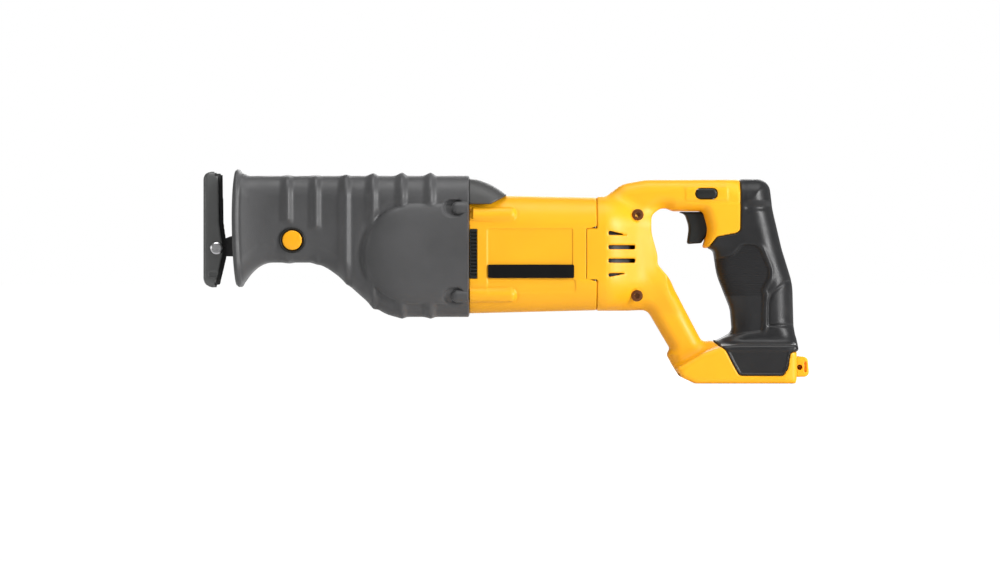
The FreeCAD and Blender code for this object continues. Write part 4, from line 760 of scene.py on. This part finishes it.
# %% Lock-off button
def oval_bar(name, centre, half_length, radius, y0, y1):
    """A stadium-shaped bar across the tool with rounded ends: the angle goes round the stadium, and
    the other parameter along y, where the last 1.5 mm at each end close in on a quarter circle."""
    lift = np.linspace(0, math.pi / 2, 8)
    ys = np.concatenate([y0 + 1.5 * (1 - np.sin(lift[::-1])), y1 - 1.5 * (1 - np.sin(lift))])
    shrink = np.concatenate([1.5 * (1 - np.cos(lift[::-1])), 1.5 * (1 - np.cos(lift))])[::1]
    angle = np.arange(72) / 72 * 2 * math.pi
    r = (radius - shrink)[:, None]
    px = centre[0] + np.sign(np.cos(angle)) * (half_length - radius) + r * np.cos(angle)
    pz = centre[1] + r * np.sin(angle)
    points = np.stack([px, ys[:, None] + 0 * px, pz], 2).reshape(-1, 3)
    rows, cols = px.shape
    i, j = np.meshgrid(np.arange(rows - 1), np.arange(cols), indexing="ij")
    right = (j + 1) % cols
    faces = np.stack([i * cols + j, i * cols + right, (i + 1) * cols + right, (i + 1) * cols + j], 2)
    caps = [list(range(cols))[::-1], list(range((rows - 1) * cols, rows * cols))]
    mesh = bpy.data.meshes.new(name)
    mesh.from_pydata((points * MM).tolist(), [], faces.reshape(-1, 4).tolist() + caps)
    return finish_turned(name, mesh, 40)


lock = oval_bar("lock_off_bar", LOCK, 6.7, 3.2, -18.2, 14.6)
wear(lock, "lock_off_button", "dark_plastic", DARK_PLASTIC, "lock_off_button")


# %% [markdown]
# ## Screws of the handle
# The heads sit deep in their wells. Each has a dished face with a six-lobed socket: in the turned
# profile, the socket's radius is a circle plus a cosine with six periods.

# %% Screw heads and shanks
def six_lobes(angle, along, radius):
    return radius + np.where(radius < 1.9, 0.26 * np.cos(6 * angle), 0)


for number, (sx, sz) in enumerate(SCREWS):
    profile = [(-20.3, 0), (-20.3, 1.55), (-21.9, 1.6), (-22.0, 2.1), (-21.8, 3.1), (-21.2, 3.55),
               (-20.2, 3.6), (-19.9, 3.2), (-19.9, 1.95), (12.0, 1.95), (13.0, 1.2), (13.0, 0)]
    head = turned(f"handle_screw_{number + 1}", profile, (sx, 0, sz), "y", six_lobes, 72)
    wear(head, "housing", "screw_steel", SCREW, *(["handle_screws"] if not number else []))


# %% [markdown]
# ## Dark sheet behind the tail vents
# Through the four slots the inside of the housing lies in shade. A curved dark plastic sheet stands
# behind them and gives that painted shade. Its field is a band that follows the tail's own section.

# %% Dark sheet behind the vents, painted shade
low, step = (209, -31, -42), 0.7
x, y, z = space(low, (240, 31, 1), step)
section = tail_field(x, y, z)
# A dark band inside the tail, behind the slots: painted shade.
shade_sheet_band = both(np.abs(section + 6.4) - 0.9, np.abs(y) - 30, 17 - np.abs(y), 211 - x, x - 237,
             np.abs(z + 21) - 18.5)
vent_shade_sheet = skin("vent_shade_sheet", shade_sheet_band, low, step)
wear(vent_shade_sheet, "housing", "dark_plastic", DARK_PLASTIC)


# %% [markdown]
# ## The shoe
# The shoe is pressed from thick steel: a face that rests on the work, with a window for the blade, and
# two cheeks folded back to the pivot. Its field is the rounded outside less a straight channel between
# the cheeks, open at the back. The rear edge of the cheeks is rolled in a little, and its faces get a
# matt near-black copy of the shoe paint as painted shade.

# %% Shoe and its rivet
SHOE = rounded([(-34, 29.9, 5), (-34, -40.9, 6), (-28, -42.1, 2), (-23.7, -41.4, 2), (-21.2, -31.0, 6),
                (-19.0, -21.5, 5), (-19.4, -14.0, 6), (-21.1, -2.0, 20), (-21.8, 29.9, 2)])
SHOE_FRONT, SHOE_HALF, SHEET = -34.0, 17.5, 2.2
low, step = (-35.2, -18.8, -43.4), 0.42
x, y, z = space(low, (-18, 18.8, 31.2), step)
flat = outline_distance(SHOE, x[:, 0, :], z[:, 0, :])[:, None, :]
edge_band = ramp(flat, -3.8, -2.2) * (x > -27)
outside = soft_edge(flat, np.abs(y) - SHOE_HALF + 1.5 * edge_band, 3.0)
open_back = both(np.abs(y) - SHOE_HALF + SHEET, SHOE_FRONT + SHEET - x)
window_flat = np.hypot(np.maximum(np.abs(y) - 0.1, 0), np.maximum(np.abs(z - 5) - 11.6, 0)) - 5.4
window = both(window_flat, x + 30)
slot = both(np.abs(y) - 9, np.abs(z + 34) - 2, x + 30)
pin = np.hypot(x + 25.8, z + 17.6) - 2.5
dimple = both(soft_edge(np.abs(x + 27.6) - 2.8, np.abs(z + 33.9) - 1.8, 1.2), SHOE_HALF - 1.0 - np.abs(y))
shoe = skin("pressed_shoe", both(outside, -open_back, -window, -slot, -pin, -dimple), low, step, 40)
wear(shoe, "shoe", "blackened_steel", SHOE_PAINT, "shoe")
# Faces near the rear edge of the cheeks take the near-black copy of the paint: painted shade.
second_finish(shoe, SHADED_PAINT, lambda u, w: (outline_distance(SHOE, u, w) > -3.1) & (u > -27))


# %% [markdown]
# ## Steel, bronze and the hidden works
# The rest of the mechanism keeps the frame's own shapes and only needs believable metal. Ground steel
# is streaked along the direction it was ground, cast alloy is dull and slightly blotchy, and bronze
# bushes are warm.

# %% Metal finishes
STEEL = finish("ground_steel", (0.56, 0.56, 0.57), 0.3, 0.0006, 0.000006, tint=0.12, metallic=1.0,
               stretch=(0.2, 1, 1))
BLACKED = finish("blackened_steel", (0.05, 0.05, 0.052), 0.42, 0.0005, 0.00001, tint=0.2, metallic=0.7)
CAST = finish("cast_alloy", (0.42, 0.43, 0.44), 0.5, 0.0008, 0.00005, tint=0.15, metallic=1.0)
BRONZE = finish("bushing_bronze", (0.55, 0.36, 0.14), 0.36, 0.0005, 0.000008, tint=0.15, metallic=1.0)
SPRING = finish("spring_steel", (0.45, 0.45, 0.46), 0.32, 0.0005, 0.000004, tint=0.1, metallic=1.0)
PLATED = finish("plated_motor_steel", (0.40, 0.41, 0.43), 0.38, 0.0007, 0.00001, tint=0.18, metallic=1.0)
COPPER = finish("copper_windings", (0.55, 0.22, 0.09), 0.35, 0.0006, 0.00004, tint=0.2, metallic=1.0,
                stretch=(0.1, 1, 1))
CARBON = finish("carbon", (0.03, 0.03, 0.031), 0.6, 0.0004, 0.00002)
LEAD = finish("lead_insulation", (0.25, 0.015, 0.01), 0.4, 0.0006, 0.00001)
BADGE = finish("badge_film", (0.004, 0.004, 0.004), 0.42, 0.0008, 0.000002, tint=0.1, specular=0.15)
SEAL = finish("seal_rubber", (0.015, 0.015, 0.016), 0.6, 0.0004, 0.00002)
SLOT_FINISH = {
    "cast_alloy": CAST, "dark_rubber": BOOT_RUBBER, "dark_plastic": DARK_PLASTIC,
    "housing_plastic": YELLOW, "shaft_steel": STEEL, "blackened_steel": BLACKED,
    "bearing_steel": STEEL, "bushing_bronze": BRONZE, "seal_rubber": SEAL, "screw_steel": SCREW,
    "spring_steel": SPRING, "motor_steel": PLATED, "copper": COPPER, "carbon": CARBON,
    "lead_insulation": LEAD, "badge_film": BADGE}
for entry in frame["record"]["subparts"]:
    node = frame["nodes"][entry["node"]]
    node.data.materials.clear()
    node.data.materials.append(SLOT_FINISH[entry["material_slot"]])


# %% [markdown]
# ## Studio
# White paper that runs out to a white sky, a broad soft light above, the strongest one low on the
# handle's side so that ribs and domes cast their own shade, and weak fills. The camera sees floor and
# sky white, while as a source of light the sky is dim, or dark rubber would look grey. Long lens, level
# with the tool, square to its side.

# %% Floor, light and camera
floor_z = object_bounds()[0][2]
bpy.ops.mesh.primitive_plane_add(size=160, location=(0, 0, floor_z))
floor = bpy.context.object
floor.name = "studio_floor"
paper = finish("studio_paper", (0.9, 0.9, 0.9), 0.9, 0.02, 0.00001, tint=0.01)
floor.data.materials.append(paper)

world = bpy.data.worlds.new("studio")
bpy.context.scene.world = world
world.use_nodes = True
sky = world.node_tree
sky.nodes["Background"].inputs["Strength"].default_value = 1.0


def seen_or_lit(tree, seen, lit):
    """A colour that is one grey where the camera looks straight at it and another as a light."""
    path = tree.nodes.new("ShaderNodeLightPath")
    mix = tree.nodes.new("ShaderNodeMix")
    mix.data_type = "RGBA"
    mix.inputs["A"].default_value = (lit, lit, lit, 1)
    mix.inputs["B"].default_value = (seen, seen, seen, 1)
    link(tree, path.outputs["Is Camera Ray"], mix.inputs["Factor"])
    return mix.outputs["Result"]


link(sky, seen_or_lit(sky, 1.0, 0.17), sky.nodes["Background"].inputs["Color"])
sheet = paper.node_tree
shader = sheet.nodes["Principled BSDF"]
link(sheet, seen_or_lit(sheet, 0.2, 0.85), shader.inputs["Base Color"])
link(sheet, seen_or_lit(sheet, 0.97, 0.0), shader.inputs["Emission Color"])
shader.inputs["Emission Strength"].default_value = 1.0


def soft_light(name, place, width, height, power):
    """An area light aimed at the middle of the tool and hidden from the camera."""
    light = bpy.data.lights.new(name, "AREA")
    light.shape, light.size, light.size_y, light.energy = "RECTANGLE", width, height, power
    lamp = bpy.data.objects.new(name, light)
    bpy.context.scene.collection.objects.link(lamp)
    lamp.location = place
    lamp.rotation_euler = (Vector((0.15, 0, -0.03)) - Vector(place)).to_track_quat("-Z", "Y").to_euler()
    lamp.visible_camera = False


soft_light("overhead", (0.15, -0.3, 1.3), 1.6, 0.8, 13)
soft_light("key_right", (1.35, -0.9, 0.35), 0.45, 0.8, 23)
soft_light("fill_front", (-0.3, -1.6, 1.0), 0.9, 0.7, 3)
soft_light("edge_left", (-1.5, -0.35, 0.1), 0.25, 0.9, 3)
soft_light("back", (0.3, 1.8, 0.7), 1.2, 0.8, 12)

DISTANCE, FRAME_WIDTH = 4.0, 0.62
camera_data = bpy.data.cameras.new("camera")
camera_data.sensor_width = 36
camera_data.lens = 36 * DISTANCE / FRAME_WIDTH
camera = bpy.data.objects.new("camera", camera_data)
camera.location = (0.1492, -DISTANCE, -0.0375)
camera.rotation_euler = (math.pi / 2, 0, 0)
bpy.context.scene.collection.objects.link(camera)
bpy.context.scene.camera = camera
bpy.context.scene.view_settings.view_transform = "Standard"
